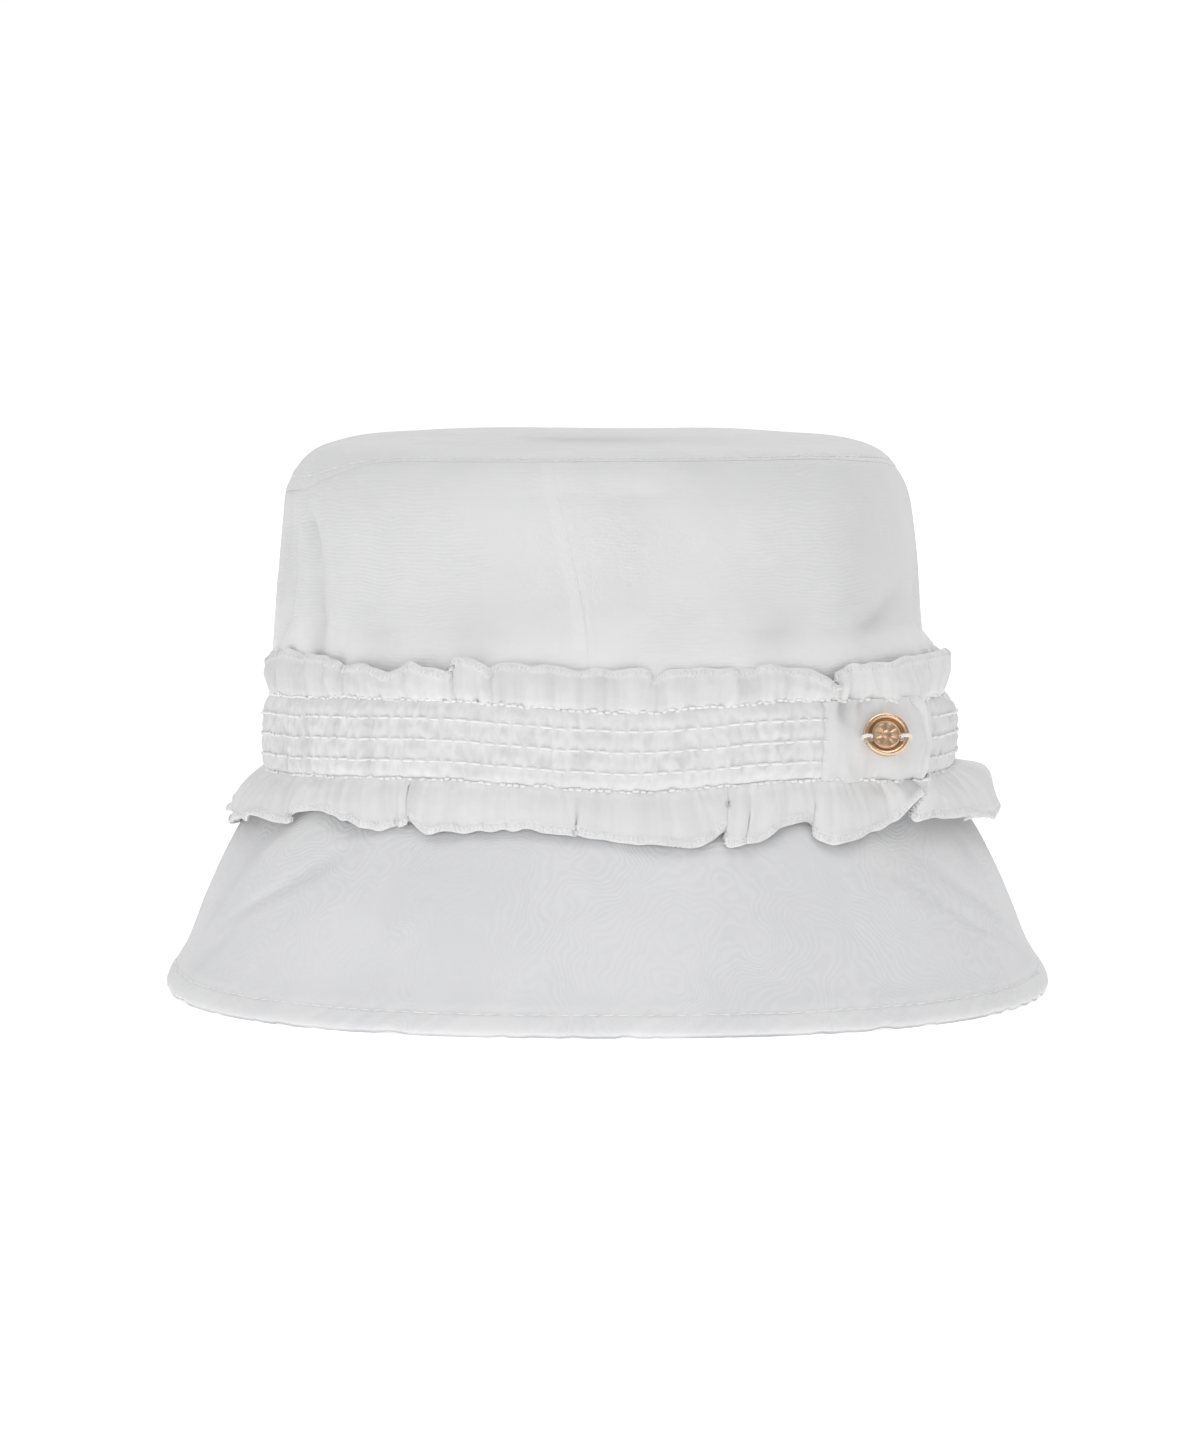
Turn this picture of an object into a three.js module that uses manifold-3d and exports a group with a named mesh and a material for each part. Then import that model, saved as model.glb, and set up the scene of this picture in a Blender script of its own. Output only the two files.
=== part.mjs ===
// Ruffled bucket hat for a child, in thin white cotton.
// Millimetres, +Z up. The rim lies flat on z = 0, the origin is under the middle of the rim, and the
// front faces -Y. An angle goes round the hat in degrees, from 0 at the front towards +X, where the
// button is. "Outward" is the half width of the oval ring that a point lies on.

import * as THREE from 'three';
import { mergeVertices } from 'three/addons/utils/BufferGeometryUtils.js';
import Module from 'manifold-3d';

const wasm = await Module();
wasm.setup();

// Driving sizes of the hat
const DEPTH_TO_WIDTH = 1.105; // a head is longer than it is wide
const SQUARENESS = 2.4; // 2 would be an ellipse
const CLOTH = 1.5; // crown and brim, two layers with their seams
const RUFFLE_CLOTH = 0.9;
const GAP = 0.3; // between one piece and the next
const BRIM_TOP = 49.7; // where the brim is sewn to the crown
const TIP_MIDDLE = 134; // height of the middle of the crown's top

// The crown's side from its lower seam to the top, and how far its middle leans to -X
const CROWN_PROFILE = [
  { height: 50, outward: 82.2, shift: 0 },
  { height: 66, outward: 81.2, shift: -1.2 },
  { height: 84, outward: 80.1, shift: -2.3 },
  { height: 104, outward: 78.9, shift: -2.3 },
  { height: 116, outward: 77.9, shift: -2.3 },
  { height: 122, outward: 76.8, shift: -2.5 },
  { height: 127, outward: 74.5, shift: -2.9 },
  { height: 130.5, outward: 71.6, shift: -3.3 },
  { height: 132.6, outward: 67.6, shift: -3.6 },
];

// The brim from the rim to its upper seam, bell-shaped with a lip that kicks out
const BRIM_PROFILE = [
  { height: 0, outward: 108.8 },
  { height: 2.2, outward: 108.7 },
  { height: 5.7, outward: 106.5 },
  { height: 10.6, outward: 103.8 },
  { height: 20.5, outward: 100 },
  { height: 30.4, outward: 95.7 },
  { height: 40, outward: 90.6 },
  { height: BRIM_TOP, outward: 83.4 },
];

// Height of the seam between the crown's side and its top: it slips down on the -X side
const TIP_SEAM = [
  { angle: -180, height: 132 },
  { angle: -130, height: 129.5 },
  { angle: -90, height: 122.5 },
  { angle: -64, height: 123.6 },
  { angle: -52, height: 127.5 },
  { angle: -42, height: 131.2 },
  { angle: -25, height: 132.2 },
  { angle: 40, height: 132.2 },
  { angle: 66, height: 130 },
  { angle: 90, height: 127.5 },
  { angle: 135, height: 130.5 },
  { angle: 180, height: 132 },
];

// Angle of the front seam of the crown at each height: it leans to -X as it goes up
const FRONT_SEAM = [
  { height: 50, angle: -0.3 },
  { height: 92, angle: -1.7 },
  { height: 110, angle: -4 },
  { height: 125, angle: -6.2 },
  { height: 133, angle: -7.3 },
];
const BACK_SEAM_ANGLE = 180;

// Folds and dents: where each one is, how wide and tall it is, how many degrees it leans for each
// millimetre up, and how far it stands out (a dent is negative)
const CROWN_FOLDS = [
  { angle: -51, height: 99, wide: 3.6, tall: 18, lean: -0.32, out: -1.7 },
  { angle: -62, height: 104, wide: 6, tall: 22, lean: -0.2, out: 1.2 },
  { angle: -72, height: 90, wide: 4, tall: 14, lean: 0.3, out: -1.3 },
  { angle: -36, height: 89, wide: 5, tall: 9, lean: -0.3, out: -1.3 },
  { angle: -20, height: 91, wide: 6, tall: 9, lean: 0, out: -0.9 },
  { angle: 12, height: 92, wide: 5, tall: 8, lean: 0.2, out: -0.9 },
  { angle: 29, height: 90, wide: 5, tall: 9, lean: 0.5, out: -1.3 },
  { angle: 36, height: 102, wide: 7, tall: 9, lean: 0.8, out: 1 },
  { angle: 47, height: 114, wide: 7, tall: 13, lean: 0, out: -1.5 },
  { angle: 51, height: 90, wide: 6, tall: 7, lean: 1, out: -1.4 },
  { angle: 76, height: 100, wide: 6, tall: 20, lean: 0.2, out: -1.2 },
  { angle: 112, height: 96, wide: 7, tall: 18, lean: -0.3, out: -1.6 },
  { angle: 150, height: 92, wide: 7, tall: 12, lean: 0.3, out: -1.3 },
  { angle: -168, height: 100, wide: 8, tall: 16, lean: 0.2, out: -1.2 },
  { angle: -140, height: 90, wide: 6, tall: 14, lean: -0.4, out: -1.5 },
  { angle: -105, height: 98, wide: 7, tall: 18, lean: 0.3, out: -1.4 },
];
const BRIM_FOLDS = [
  { angle: -66, height: 27, wide: 3.6, tall: 11, lean: 0.4, out: -1.3 },
  { angle: -56, height: 29, wide: 3.6, tall: 10, lean: 0.9, out: -1.1 },
  { angle: -44, height: 29, wide: 4, tall: 12, lean: 0.6, out: -1.3 },
  { angle: -62, height: 13, wide: 3.6, tall: 7, lean: 0.8, out: -1 },
  { angle: -20, height: 24, wide: 9, tall: 12, lean: 0, out: 0.9 },
  { angle: 18, height: 26, wide: 10, tall: 12, lean: 0, out: -0.8 },
  { angle: 52, height: 29, wide: 4, tall: 10, lean: -0.5, out: -1.3 },
  { angle: 51, height: 12, wide: 3.6, tall: 6, lean: -0.8, out: -1 },
  { angle: 63, height: 15, wide: 4, tall: 9, lean: -0.9, out: -1.2 },
  { angle: 88, height: 26, wide: 6, tall: 13, lean: 0.3, out: -1.2 },
  { angle: 122, height: 25, wide: 5, tall: 12, lean: 0.6, out: -1.4 },
  { angle: 146, height: 28, wide: 6, tall: 11, lean: -0.4, out: -1.1 },
  { angle: -172, height: 24, wide: 8, tall: 12, lean: 0.3, out: -1.2 },
  { angle: -138, height: 27, wide: 5, tall: 12, lean: -0.6, out: -1.4 },
  { angle: -100, height: 25, wide: 6, tall: 12, lean: 0.4, out: -1.2 },
];
const CALM = 9; // folds fade out over this height towards the rim and the seams

// The shirred band: the heights of its five rows of gathering at the front, and how far the whole
// strip rises or drops, and stands out, round the hat
const BAND_ROWS = [55.2, 59.6, 64.6, 69.6, 74.2];
const BAND_LINE = [
  { angle: -180, rise: 0, outward: 86 },
  { angle: -130, rise: 0.8, outward: 86.4 },
  { angle: -90, rise: -3, outward: 85.6 },
  { angle: -70, rise: -0.8, outward: 85.8 },
  { angle: -52, rise: 0.6, outward: 85.8 },
  { angle: -40, rise: 1.9, outward: 86 },
  { angle: -24, rise: 2.4, outward: 86 },
  { angle: -12, rise: 1.4, outward: 86.2 },
  { angle: 0, rise: 0.2, outward: 86 },
  { angle: 6, rise: 0, outward: 86 },
  { angle: 12, rise: 0.7, outward: 86.2 },
  { angle: 18, rise: 1.3, outward: 86.4 },
  { angle: 25, rise: 2.1, outward: 86.6 },
  { angle: 36, rise: 1.7, outward: 87 },
  { angle: 46, rise: 0.6, outward: 87.2 },
  { angle: 60, rise: 0, outward: 87 },
  { angle: 90, rise: -1.6, outward: 86.2 },
  { angle: 135, rise: 0.8, outward: 86.6 },
  { angle: 180, rise: 0, outward: 86 },
];
const BAND_THICK = 3;
const GATHER_DEPTH = 2; // how far the outer rows pull the puffed cloth in
const ELASTIC_DEPTH = 0.9; // and the rows of elastic between them
const BAND_ENDS = { start: 49, end: 392.5 }; // the strip goes round the back, button side first
const BAND_PLEATS = 34; // soft upright pleats round the strip, two columns of cloth each
const PLEAT_DEPTH = 0.5;

// The plain tab in the gap between the band's ends: it faces the front more than the oval does
const TAB_LINE = [
  { angle: 33, outward: 83.6 },
  { angle: 36.6, outward: 84.7 },
  { angle: 40.6, outward: 86.8 },
  { angle: 44.4, outward: 89.4 },
  { angle: 48, outward: 91.8 },
  { angle: 50, outward: 91.4 },
  { angle: 51.5, outward: 90.4 },
];
const TAB_FOOT = 57.4;
const TAB_HEAD = 74.6;
const TAB_CLOTH = 1.2;
const TAB_BULGE = 0.8;

// Ruffles, a row for each fold: the angle of its root on the gather, how far its edge slides along
// beside that, and how far its edge goes out and up from the root
const UPPER_FOLDS = [
  { angle: -82, slide: 0, out: -0.2, up: 9.9 },
  { angle: -72, slide: 0, out: 0.6, up: 9.6 },
  { angle: -62, slide: 0, out: 0.8, up: 10.7 },
  { angle: -53.5, slide: 0, out: -0.6, up: 9.5 },
  { angle: -49, slide: 0, out: 1.1, up: 10.2 },
  { angle: -45.5, slide: 0, out: -1, up: 9 },
  { angle: -42, slide: 0, out: 0.6, up: 7.4 },
  { angle: -38, slide: 0, out: 1.6, up: 8.2 },
  { angle: -33, slide: 0, out: 3.4, up: 4.4 },
  { angle: -28.5, slide: 0, out: 3, up: 8.5 },
  { angle: -24, slide: 0, out: 3.8, up: 4.1 },
  { angle: -21, slide: 0, out: 1.2, up: 10.3 },
  { angle: -16.5, slide: 0, out: -1.2, up: 8.6 },
  { angle: -12, slide: 0, out: 0.4, up: 10.2 },
  { angle: -6, slide: 0, out: 0, up: 9.7 },
  { angle: -1, slide: 0, out: -1, up: 9.7 },
  { angle: 3, slide: 0, out: 0.4, up: 10 },
  { angle: 6.8, slide: 0, out: -1.6, up: 8.3 },
  { angle: 10.5, slide: 0, out: 0.3, up: 9.6 },
  { angle: 15, slide: 0, out: 0.2, up: 8.7 },
  { angle: 20, slide: 0, out: -1.8, up: 8 },
  { angle: 25, slide: 0, out: 1, up: 8.5 },
  { angle: 29.5, slide: 0, out: 2.2, up: 6 },
  { angle: 33.4, slide: 0, out: 3.4, up: 1.6 },
  { angle: 37, slide: 0, out: 0.6, up: 8.4 },
  { angle: 44, slide: 0, out: 0.8, up: 9.2 },
  { angle: 51, slide: 0, out: 0.4, up: 10 },
  { angle: 57, slide: 0, out: -0.8, up: 10.2 },
  { angle: 64, slide: 0, out: 0, up: 10.6 },
  { angle: 72, slide: 0, out: -1, up: 10.2 },
  { angle: 78, slide: 0, out: -0.4, up: 10.3 },
];
const UPPER_BACK = { first: 84, last: 270, folds: 13, out: [-0.4, 1.4], up: [9.6, 8.8] };
const LOWER_FOLDS = [
  { angle: -84, slide: 0, out: 9.6, up: -12.2 },
  { angle: -76, slide: 0, out: 7.6, up: -12.2 },
  { angle: -68, slide: 2, out: 10.2, up: -11.4 },
  { angle: -58, slide: 0, out: 7, up: -12.7 },
  { angle: -51, slide: -1, out: 10.6, up: -10.6 },
  { angle: -44, slide: 0, out: 10.4, up: -12.5 },
  { angle: -37, slide: 1, out: 7.8, up: -11.8 },
  { angle: -33, slide: 0, out: 6.2, up: -12.8 },
  { angle: -29, slide: -1, out: 9.6, up: -9.2 },
  { angle: -22, slide: 0, out: 9.6, up: -12.1 },
  { angle: -14, slide: 0, out: 8.6, up: -11.2 },
  { angle: -7, slide: 0.6, out: 9.8, up: -11.6 },
  { angle: -2.5, slide: 0, out: 6.8, up: -10.1 },
  { angle: 2, slide: 0, out: 9.4, up: -10.6 },
  { angle: 8, slide: 0, out: 10.2, up: -12 },
  { angle: 14, slide: 0.8, out: 9.6, up: -11.8 },
  { angle: 20, slide: 1, out: 6, up: -11 },
  { angle: 23, slide: -1, out: 9.8, up: -14.2 },
  { angle: 29, slide: 0.6, out: 9.2, up: -11.4 },
  { angle: 33, slide: 0, out: 6.2, up: -13 },
  { angle: 37, slide: -1, out: 10.6, up: -14.8 },
  { angle: 44, slide: 0, out: 10.4, up: -13.4 },
  { angle: 51, slide: 1, out: 10.8, up: -10 },
  { angle: 56, slide: 0, out: 6.4, up: -11.6 },
  { angle: 64, slide: 0, out: 10.6, up: -10.6 },
  { angle: 72, slide: 0, out: 8, up: -12 },
  { angle: 80, slide: 0, out: 12.4, up: -8.8 },
];
const LOWER_BACK = { first: 88, last: 268, folds: 17, out: [7.6, 10.8], up: [-12.2, -10.8] };
const FOLD_STEPS = 3; // columns of cloth for each fold
const UNEVEN = { angle: 0.25, slide: 0.8, out: 0.7, up: 0.6 }; // how much the back's folds differ
const BOW = 1.1; // how far a ruffle curves outward between its root and its edge

// The overlocked edge, a bead along each ruffle
const EDGE_TALL = 2.2;
const EDGE_THICK = 1.6;

// The metal button: its profile runs from the middle of its dished back over the rim to its face
const BUTTON_RADIUS = 5.5;
const BUTTON_FACE = 1; // height of its flat middle above the back's edge
const BUTTON_SUNK = 0.7; // and of the sunk ring round that
const BUTTON_RIM = 1.5;
const PETALS = 7;
const PETAL_HEIGHT = 0.15;
const PETAL_RADIUS = 2.2;
const BUTTON_PROFILE = [
  { radius: 0, height: -0.6 },
  { radius: 3.6, height: -0.6 },
  { radius: 5, height: 0 },
  { radius: BUTTON_RADIUS, height: 0.6 },
  { radius: 5.4, height: 1.2 },
  { radius: 5, height: BUTTON_RIM },
  { radius: 4.4, height: 1.3 },
  { radius: 4.1, height: BUTTON_SUNK },
  { radius: 3.4, height: BUTTON_FACE },
  { radius: PETAL_RADIUS, height: BUTTON_FACE },
  { radius: 0, height: BUTTON_FACE },
];
const BUTTON_PLACE = new THREE.Vector3(66.2, -78, 67.3);
const BUTTON_TURN = 5; // degrees from the front towards +X
const BUTTON_TILT = 26; // degrees up
const SLOT_CENTRE = 3.6;
const SLOT_DROP = 0.6; // the slots are a little below the middle
const SLOT_WIDE = 1.2;
const SLOT_TALL = 2.2;
const THREAD = 0.4; // radius
const THREAD_CLEAR = GAP + THREAD; // from the metal to the middle of the thread

// The route of one loop of thread, out from the middle of the button and up from its back's edge
const THREAD_ROUTE = [
  { out: SLOT_CENTRE, up: -0.9 },
  { out: SLOT_CENTRE, up: 1 },
  { out: SLOT_CENTRE + 0.5, up: BUTTON_RIM + THREAD_CLEAR - 0.1 },
  { out: BUTTON_RADIUS - 0.3, up: BUTTON_RIM + THREAD_CLEAR - 0.1 },
  { out: BUTTON_RADIUS + THREAD_CLEAR, up: 0.9 },
  { out: BUTTON_RADIUS + THREAD_CLEAR - 0.2, up: -0.6 },
];

const WHITE_CLOTH = { color: 0xdedede, roughness: 0.92, metalness: 0 };
const GATHERED_CLOTH = { color: 0xe4e4e4, roughness: 0.92, metalness: 0 };
const WHITE_THREAD = { color: 0xf0f0ee, roughness: 0.8, metalness: 0 };
const PALE_GOLD = { color: 0xcfa473, roughness: 0.3, metalness: 1 };

const FULL_TURN = 360;
const hat = new THREE.Group();

/** A column of a table at a value of its key, on one smooth curve through the rows. */
function read(table, key, value, column) {
  const last = table.length - 1;
  const found = table.findIndex((row) => row[key] >= value);
  const next = THREE.MathUtils.clamp(found === -1 ? last : found, 1, last);
  const rows = [next - 2, next - 1, next, next + 1].map((row) => table[THREE.MathUtils.clamp(row, 0, last)]);
  const [a, b, c, d] = rows.map((row) => ({ at: row[key], is: row[column] }));
  const span = c.at - b.at;
  const share = THREE.MathUtils.clamp((value - b.at) / span, 0, 1);
  const leave = (c.is - a.is) / (c.at - a.at) * span;
  const arrive = (d.is - b.is) / (d.at - b.at) * span;
  const curve = 2 * b.is - 2 * c.is + leave + arrive;
  const bend = 3 * c.is - 3 * b.is - 2 * leave - arrive;
  return ((curve * share + bend) * share + leave) * share + b.is;
}

/** The same angle between -180 and 180. */
function wrap(angle) {
  return THREE.MathUtils.euclideanModulo(angle + FULL_TURN / 2, FULL_TURN) - FULL_TURN / 2;
}

/** The point at an angle and a height on the oval ring of this half width. */
function ringPoint(angle, outward, height, shift = 0) {
  const turn = THREE.MathUtils.degToRad(angle);
  const wide = Math.abs(Math.sin(turn)) ** SQUARENESS;
  const deep = Math.abs(Math.cos(turn) / DEPTH_TO_WIDTH) ** SQUARENESS;
  const reach = outward / (wide + deep) ** (1 / SQUARENESS);
  return new THREE.Vector3(shift + reach * Math.sin(turn), -reach * Math.cos(turn), height);
}

/** How far the folds of a table stand out at one place. */
function foldsAt(folds, angle, height) {
  return folds.reduce((sum, fold) => {
    const up = height - fold.height;
    const across = wrap(angle - fold.angle - fold.lean * up) / fold.wide;
    return sum + fold.out * Math.exp(-(across ** 2) - (up / fold.tall) ** 2);
  }, 0);
}

/** Moves each vertex of a three.js geometry to place(index) and joins the ones that then meet. */
function reshape(geometry, place) {
  const position = geometry.attributes.position;
  for (let index = 0; index < position.count; index += 1) {
    const point = place(index, new THREE.Vector3().fromBufferAttribute(position, index));
    position.setXYZ(index, point.x, point.y, point.z);
  }
  geometry.deleteAttribute('normal');
  geometry.deleteAttribute('uv');
  return mergeVertices(geometry);
}

/**
 * A solid that goes all the way round. section(share) gives the corners of its cut at a share of the
 * way round, up its outside and down its inside. It closes on itself, or with `capped` it starts and
 * ends on the axis.
 */
function roundSolid(columns, section, capped = false) {
  const corners = section(0).length;
  const rows = capped ? corners : corners + 1;
  const outline = Array.from({ length: rows }, (_, row) => {
    const turn = capped ? Math.PI * (row / (rows - 1) - 0.5) : 2 * Math.PI * row / corners;
    return new THREE.Vector2(Math.cos(turn) + (capped ? 0 : 2), Math.sin(turn));
  });
  const sections = Array.from({ length: columns }, (_, column) => section(column / columns));
  return reshape(new THREE.LatheGeometry(outline, columns), (index) => {
    const column = Math.floor(index / rows) % columns;
    return sections[column][index % rows % corners];
  });
}

/** A sheet with a thickness. place(along, up, out) takes three shares from 0 to 1. */
function sheetSolid(columns, rows, place) {
  const block = new THREE.BoxGeometry(1, 1, 1, columns, rows, 1);
  return reshape(block, (_, corner) => place(corner.x + 0.5, corner.y + 0.5, corner.z + 0.5));
}

/** Adds one named piece with a material of its own. */
function addPiece(name, geometry, finish) {
  geometry.computeVertexNormals();
  const piece = new THREE.Mesh(geometry, new THREE.MeshStandardMaterial(finish));
  piece.name = name;
  hat.add(piece);
  return piece;
}

/** A point of the crown's side, outside or, by its thickness, inside. */
function crownPoint(angle, height, inward) {
  const outward = read(CROWN_PROFILE, 'height', height, 'outward');
  const shift = read(CROWN_PROFILE, 'height', height, 'shift');
  const calm = Math.min(1, (read(TIP_SEAM, 'angle', wrap(angle), 'height') - height) / CALM);
  const folded = outward + foldsAt(CROWN_FOLDS, angle, height) * Math.max(0, calm);
  return ringPoint(angle, folded - inward, height, shift);
}

/** One side panel of the crown, between the front and the back seam. */
function crownSide(name, side) {
  const columns = 22;
  const rows = 8;
  const crowding = 1.5; // the rows lie closer together towards the rounded corner
  const foot = CROWN_PROFILE[0].height;
  const seamGap = THREE.MathUtils.radToDeg(GAP / 2 / CROWN_PROFILE[0].outward);
  const geometry = sheetSolid(columns, rows, (along, up, out) => {
    const climb = 1 - (1 - up) ** crowding;
    const seamAt = (angle) => read(TIP_SEAM, 'angle', wrap(angle), 'height');
    const height = (angle) => THREE.MathUtils.lerp(foot, seamAt(angle), climb);
    const front = read(FRONT_SEAM, 'height', height(0), 'angle');
    const back = BACK_SEAM_ANGLE - seamGap;
    const angle = side === 'left'
      ? THREE.MathUtils.lerp(-back, front - seamGap, along)
      : THREE.MathUtils.lerp(front + seamGap, back, along);
    return crownPoint(angle, height(angle), CLOTH * (1 - out));
  });
  addPiece(name, geometry, WHITE_CLOTH);
}

/** The oval top panel, rounded down to its seam. */
function crownTip() {
  const columns = 44;
  const rings = [0, 0.45, 0.8, 0.92, 0.97, 1]; // shares of the way out from the middle
  const roundness = 16; // a high power keeps the top flat and bends it only at its edge
  const middleShift = -3;
  const geometry = roundSolid(columns, (share) => {
    const angle = share * FULL_TURN;
    const seam = read(TIP_SEAM, 'angle', wrap(angle), 'height');
    const outward = read(CROWN_PROFILE, 'height', seam, 'outward');
    const shift = read(CROWN_PROFILE, 'height', seam, 'shift');
    const edge = seam + GAP;
    const corner = (ring, under) => {
      const height = TIP_MIDDLE - (TIP_MIDDLE - edge) * ring ** roundness - (ring < 1 ? under : 0);
      const sideways = THREE.MathUtils.lerp(middleShift, shift, ring);
      return ringPoint(angle, (outward - under) * ring, height, sideways);
    };
    const below = rings.map((ring) => corner(ring, CLOTH));
    const above = rings.map((ring) => corner(ring, 0)).reverse();
    return [...below, ...above];
  }, true);
  addPiece('crown_tip', geometry, WHITE_CLOTH);
}

/** The brim, a bell with a flat foot all round its rim. */
function brim() {
  const columns = 52;
  const geometry = roundSolid(columns, (share) => {
    const angle = share * FULL_TURN;
    const corner = (inward) => ({ height, outward }) => {
      const calm = Math.min(1, height / CALM, (BRIM_TOP - height) / CALM);
      return ringPoint(angle, outward - inward + foldsAt(BRIM_FOLDS, angle, height) * calm, height);
    };
    const outside = BRIM_PROFILE.map(corner(0));
    const inside = BRIM_PROFILE.map(corner(CLOTH + GAP)).reverse();
    return [...outside, ...inside];
  });
  addPiece('brim', geometry, WHITE_CLOTH);
}

/** The height of one of the band's rows of gathering, which may lie between two rows. */
function bandHeight(angle, row) {
  const below = Math.floor(row);
  const above = Math.min(below + 1, BAND_ROWS.length - 1);
  const level = THREE.MathUtils.lerp(BAND_ROWS[below], BAND_ROWS[above], row - below);
  return level + read(BAND_LINE, 'angle', wrap(angle), 'rise');
}

/** The shirred strip, puffed out between its rows of elastic. */
function shirredBand() {
  const columns = 2 * BAND_PLEATS;
  const steps = 2 * (BAND_ROWS.length - 1); // a puff and a row of elastic in turn
  const geometry = sheetSolid(columns, steps, (along, up, out) => {
    const angle = THREE.MathUtils.lerp(BAND_ENDS.start, BAND_ENDS.end, along);
    const step = Math.round(up * steps);
    const atGather = step === 0 || step === steps;
    const pleat = PLEAT_DEPTH * (1 - Math.cos(Math.PI * columns * along));
    const drawnIn = step % 2 === 0 ? ELASTIC_DEPTH : pleat;
    const crest = read(BAND_LINE, 'angle', wrap(angle), 'outward');
    const outer = crest - (atGather ? GATHER_DEPTH : drawnIn);
    const inner = crest - BAND_THICK;
    return ringPoint(angle, THREE.MathUtils.lerp(inner, outer, out), bandHeight(angle, step / 2));
  });
  addPiece('shirred_band', geometry, GATHERED_CLOTH);
}

/** The plain tab under the button. */
function bandTab() {
  const columns = 8;
  const rows = 3;
  const first = TAB_LINE[0].angle;
  const last = TAB_LINE[TAB_LINE.length - 1].angle;
  const geometry = sheetSolid(columns, rows, (along, up, out) => {
    const angle = THREE.MathUtils.lerp(first, last, along);
    const bulge = TAB_BULGE * Math.sin(Math.PI * up);
    const outward = read(TAB_LINE, 'angle', angle, 'outward') + bulge - TAB_CLOTH * (1 - out);
    return ringPoint(angle, outward, THREE.MathUtils.lerp(TAB_FOOT, TAB_HEAD, up));
  });
  addPiece('band_tab', geometry, GATHERED_CLOTH);
}

/** The folds of the hidden back, crests and hollows in turn, made uneven by two waves out of step. */
function backFolds({ first, last, folds, out, up }) {
  return Array.from({ length: folds }, (_, fold) => {
    const uneven = 0.5 * Math.sin(2.4 * fold) + 0.3 * Math.sin(5.1 * fold);
    const side = fold % 2;
    return {
      angle: THREE.MathUtils.lerp(first, last, (fold + UNEVEN.angle * uneven) / (folds - 1)),
      slide: UNEVEN.slide * uneven,
      out: out[side] + UNEVEN.out * uneven,
      up: up[side] + UNEVEN.up * uneven,
    };
  });
}

/** A column of a table of folds, eased from one fold to the next, round and round. */
function foldValue(folds, place, column) {
  const before = folds[Math.floor(place) % folds.length];
  const after = folds[(Math.floor(place) + 1) % folds.length];
  const share = place - Math.floor(place);
  const eased = column === 'angle' ? share : THREE.MathUtils.smoothstep(share, 0, 1);
  const turn = column === 'angle' && after.angle < before.angle ? FULL_TURN : 0;
  return THREE.MathUtils.lerp(before[column], after[column] + turn, eased);
}

/** A ruffle from one row of gathering to its overlocked edge; direction is 1 upwards, -1 downwards. */
function ruffle(name, folds, row, direction) {
  const columns = folds.length * FOLD_STEPS;
  const geometry = roundSolid(columns, (share) => {
    const place = share * folds.length;
    const angle = foldValue(folds, place, 'angle');
    const slide = foldValue(folds, place, 'slide');
    const out = foldValue(folds, place, 'out');
    const up = foldValue(folds, place, 'up');
    const rootOut = read(BAND_LINE, 'angle', wrap(angle), 'outward') - GATHER_DEPTH;
    const rootUp = bandHeight(angle, row) + GAP * direction;
    const length = Math.hypot(out, up);
    const stem = 1 - EDGE_TALL / length;
    const half = RUFFLE_CLOTH / 2;
    const bead = EDGE_THICK / 2;
    // Shares of the way along the cloth, and how far each corner stands off its middle
    const corners = [
      [0, half], [stem, half], [(1 + stem) / 2, bead], [1, half],
      [1, -half], [(1 + stem) / 2, -bead], [stem, -half], [0, -half],
    ];
    const section = corners.map(([along, off]) => {
      const side = off + BOW * Math.sin(Math.PI * along);
      const outward = rootOut + out * along + side * Math.abs(up) / length;
      const height = rootUp + up * along - side * direction * out / length;
      return ringPoint(angle + slide * along, outward, height);
    });
    return direction > 0 ? section : section.reverse();
  });
  addPiece(name, geometry, GATHERED_CLOTH);
}

/** A three.js geometry as a solid that can be cut. */
function toSolid(geometry) {
  const joined = mergeVertices(geometry);
  return new wasm.Manifold(new wasm.Mesh({
    numProp: 3,
    vertProperties: new Float32Array(joined.attributes.position.array),
    triVerts: new Uint32Array(joined.index.array),
  }));
}

/** A cut solid back as a three.js geometry. */
function toGeometry(solid) {
  const mesh = solid.getMesh();
  const geometry = new THREE.BufferGeometry();
  geometry.setAttribute('position', new THREE.BufferAttribute(new Float32Array(mesh.vertProperties), 3));
  geometry.setIndex(new THREE.BufferAttribute(new Uint32Array(mesh.triVerts), 1));
  return geometry;
}

/** Turns and places what was made with its face towards +Y so that it looks out of the tab. */
function placeOnTab(piece) {
  const tilt = THREE.MathUtils.degToRad(BUTTON_TILT);
  const turn = THREE.MathUtils.degToRad(BUTTON_TURN);
  const level = Math.cos(tilt);
  const facing = new THREE.Vector3(Math.sin(turn) * level, -Math.cos(turn) * level, Math.sin(tilt));
  const right = new THREE.Vector3(0, 0, 1).cross(facing).normalize();
  const down = right.clone().cross(facing);
  piece.quaternion.setFromRotationMatrix(new THREE.Matrix4().makeBasis(right, facing, down));
  piece.position.copy(BUTTON_PLACE);
}

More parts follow.
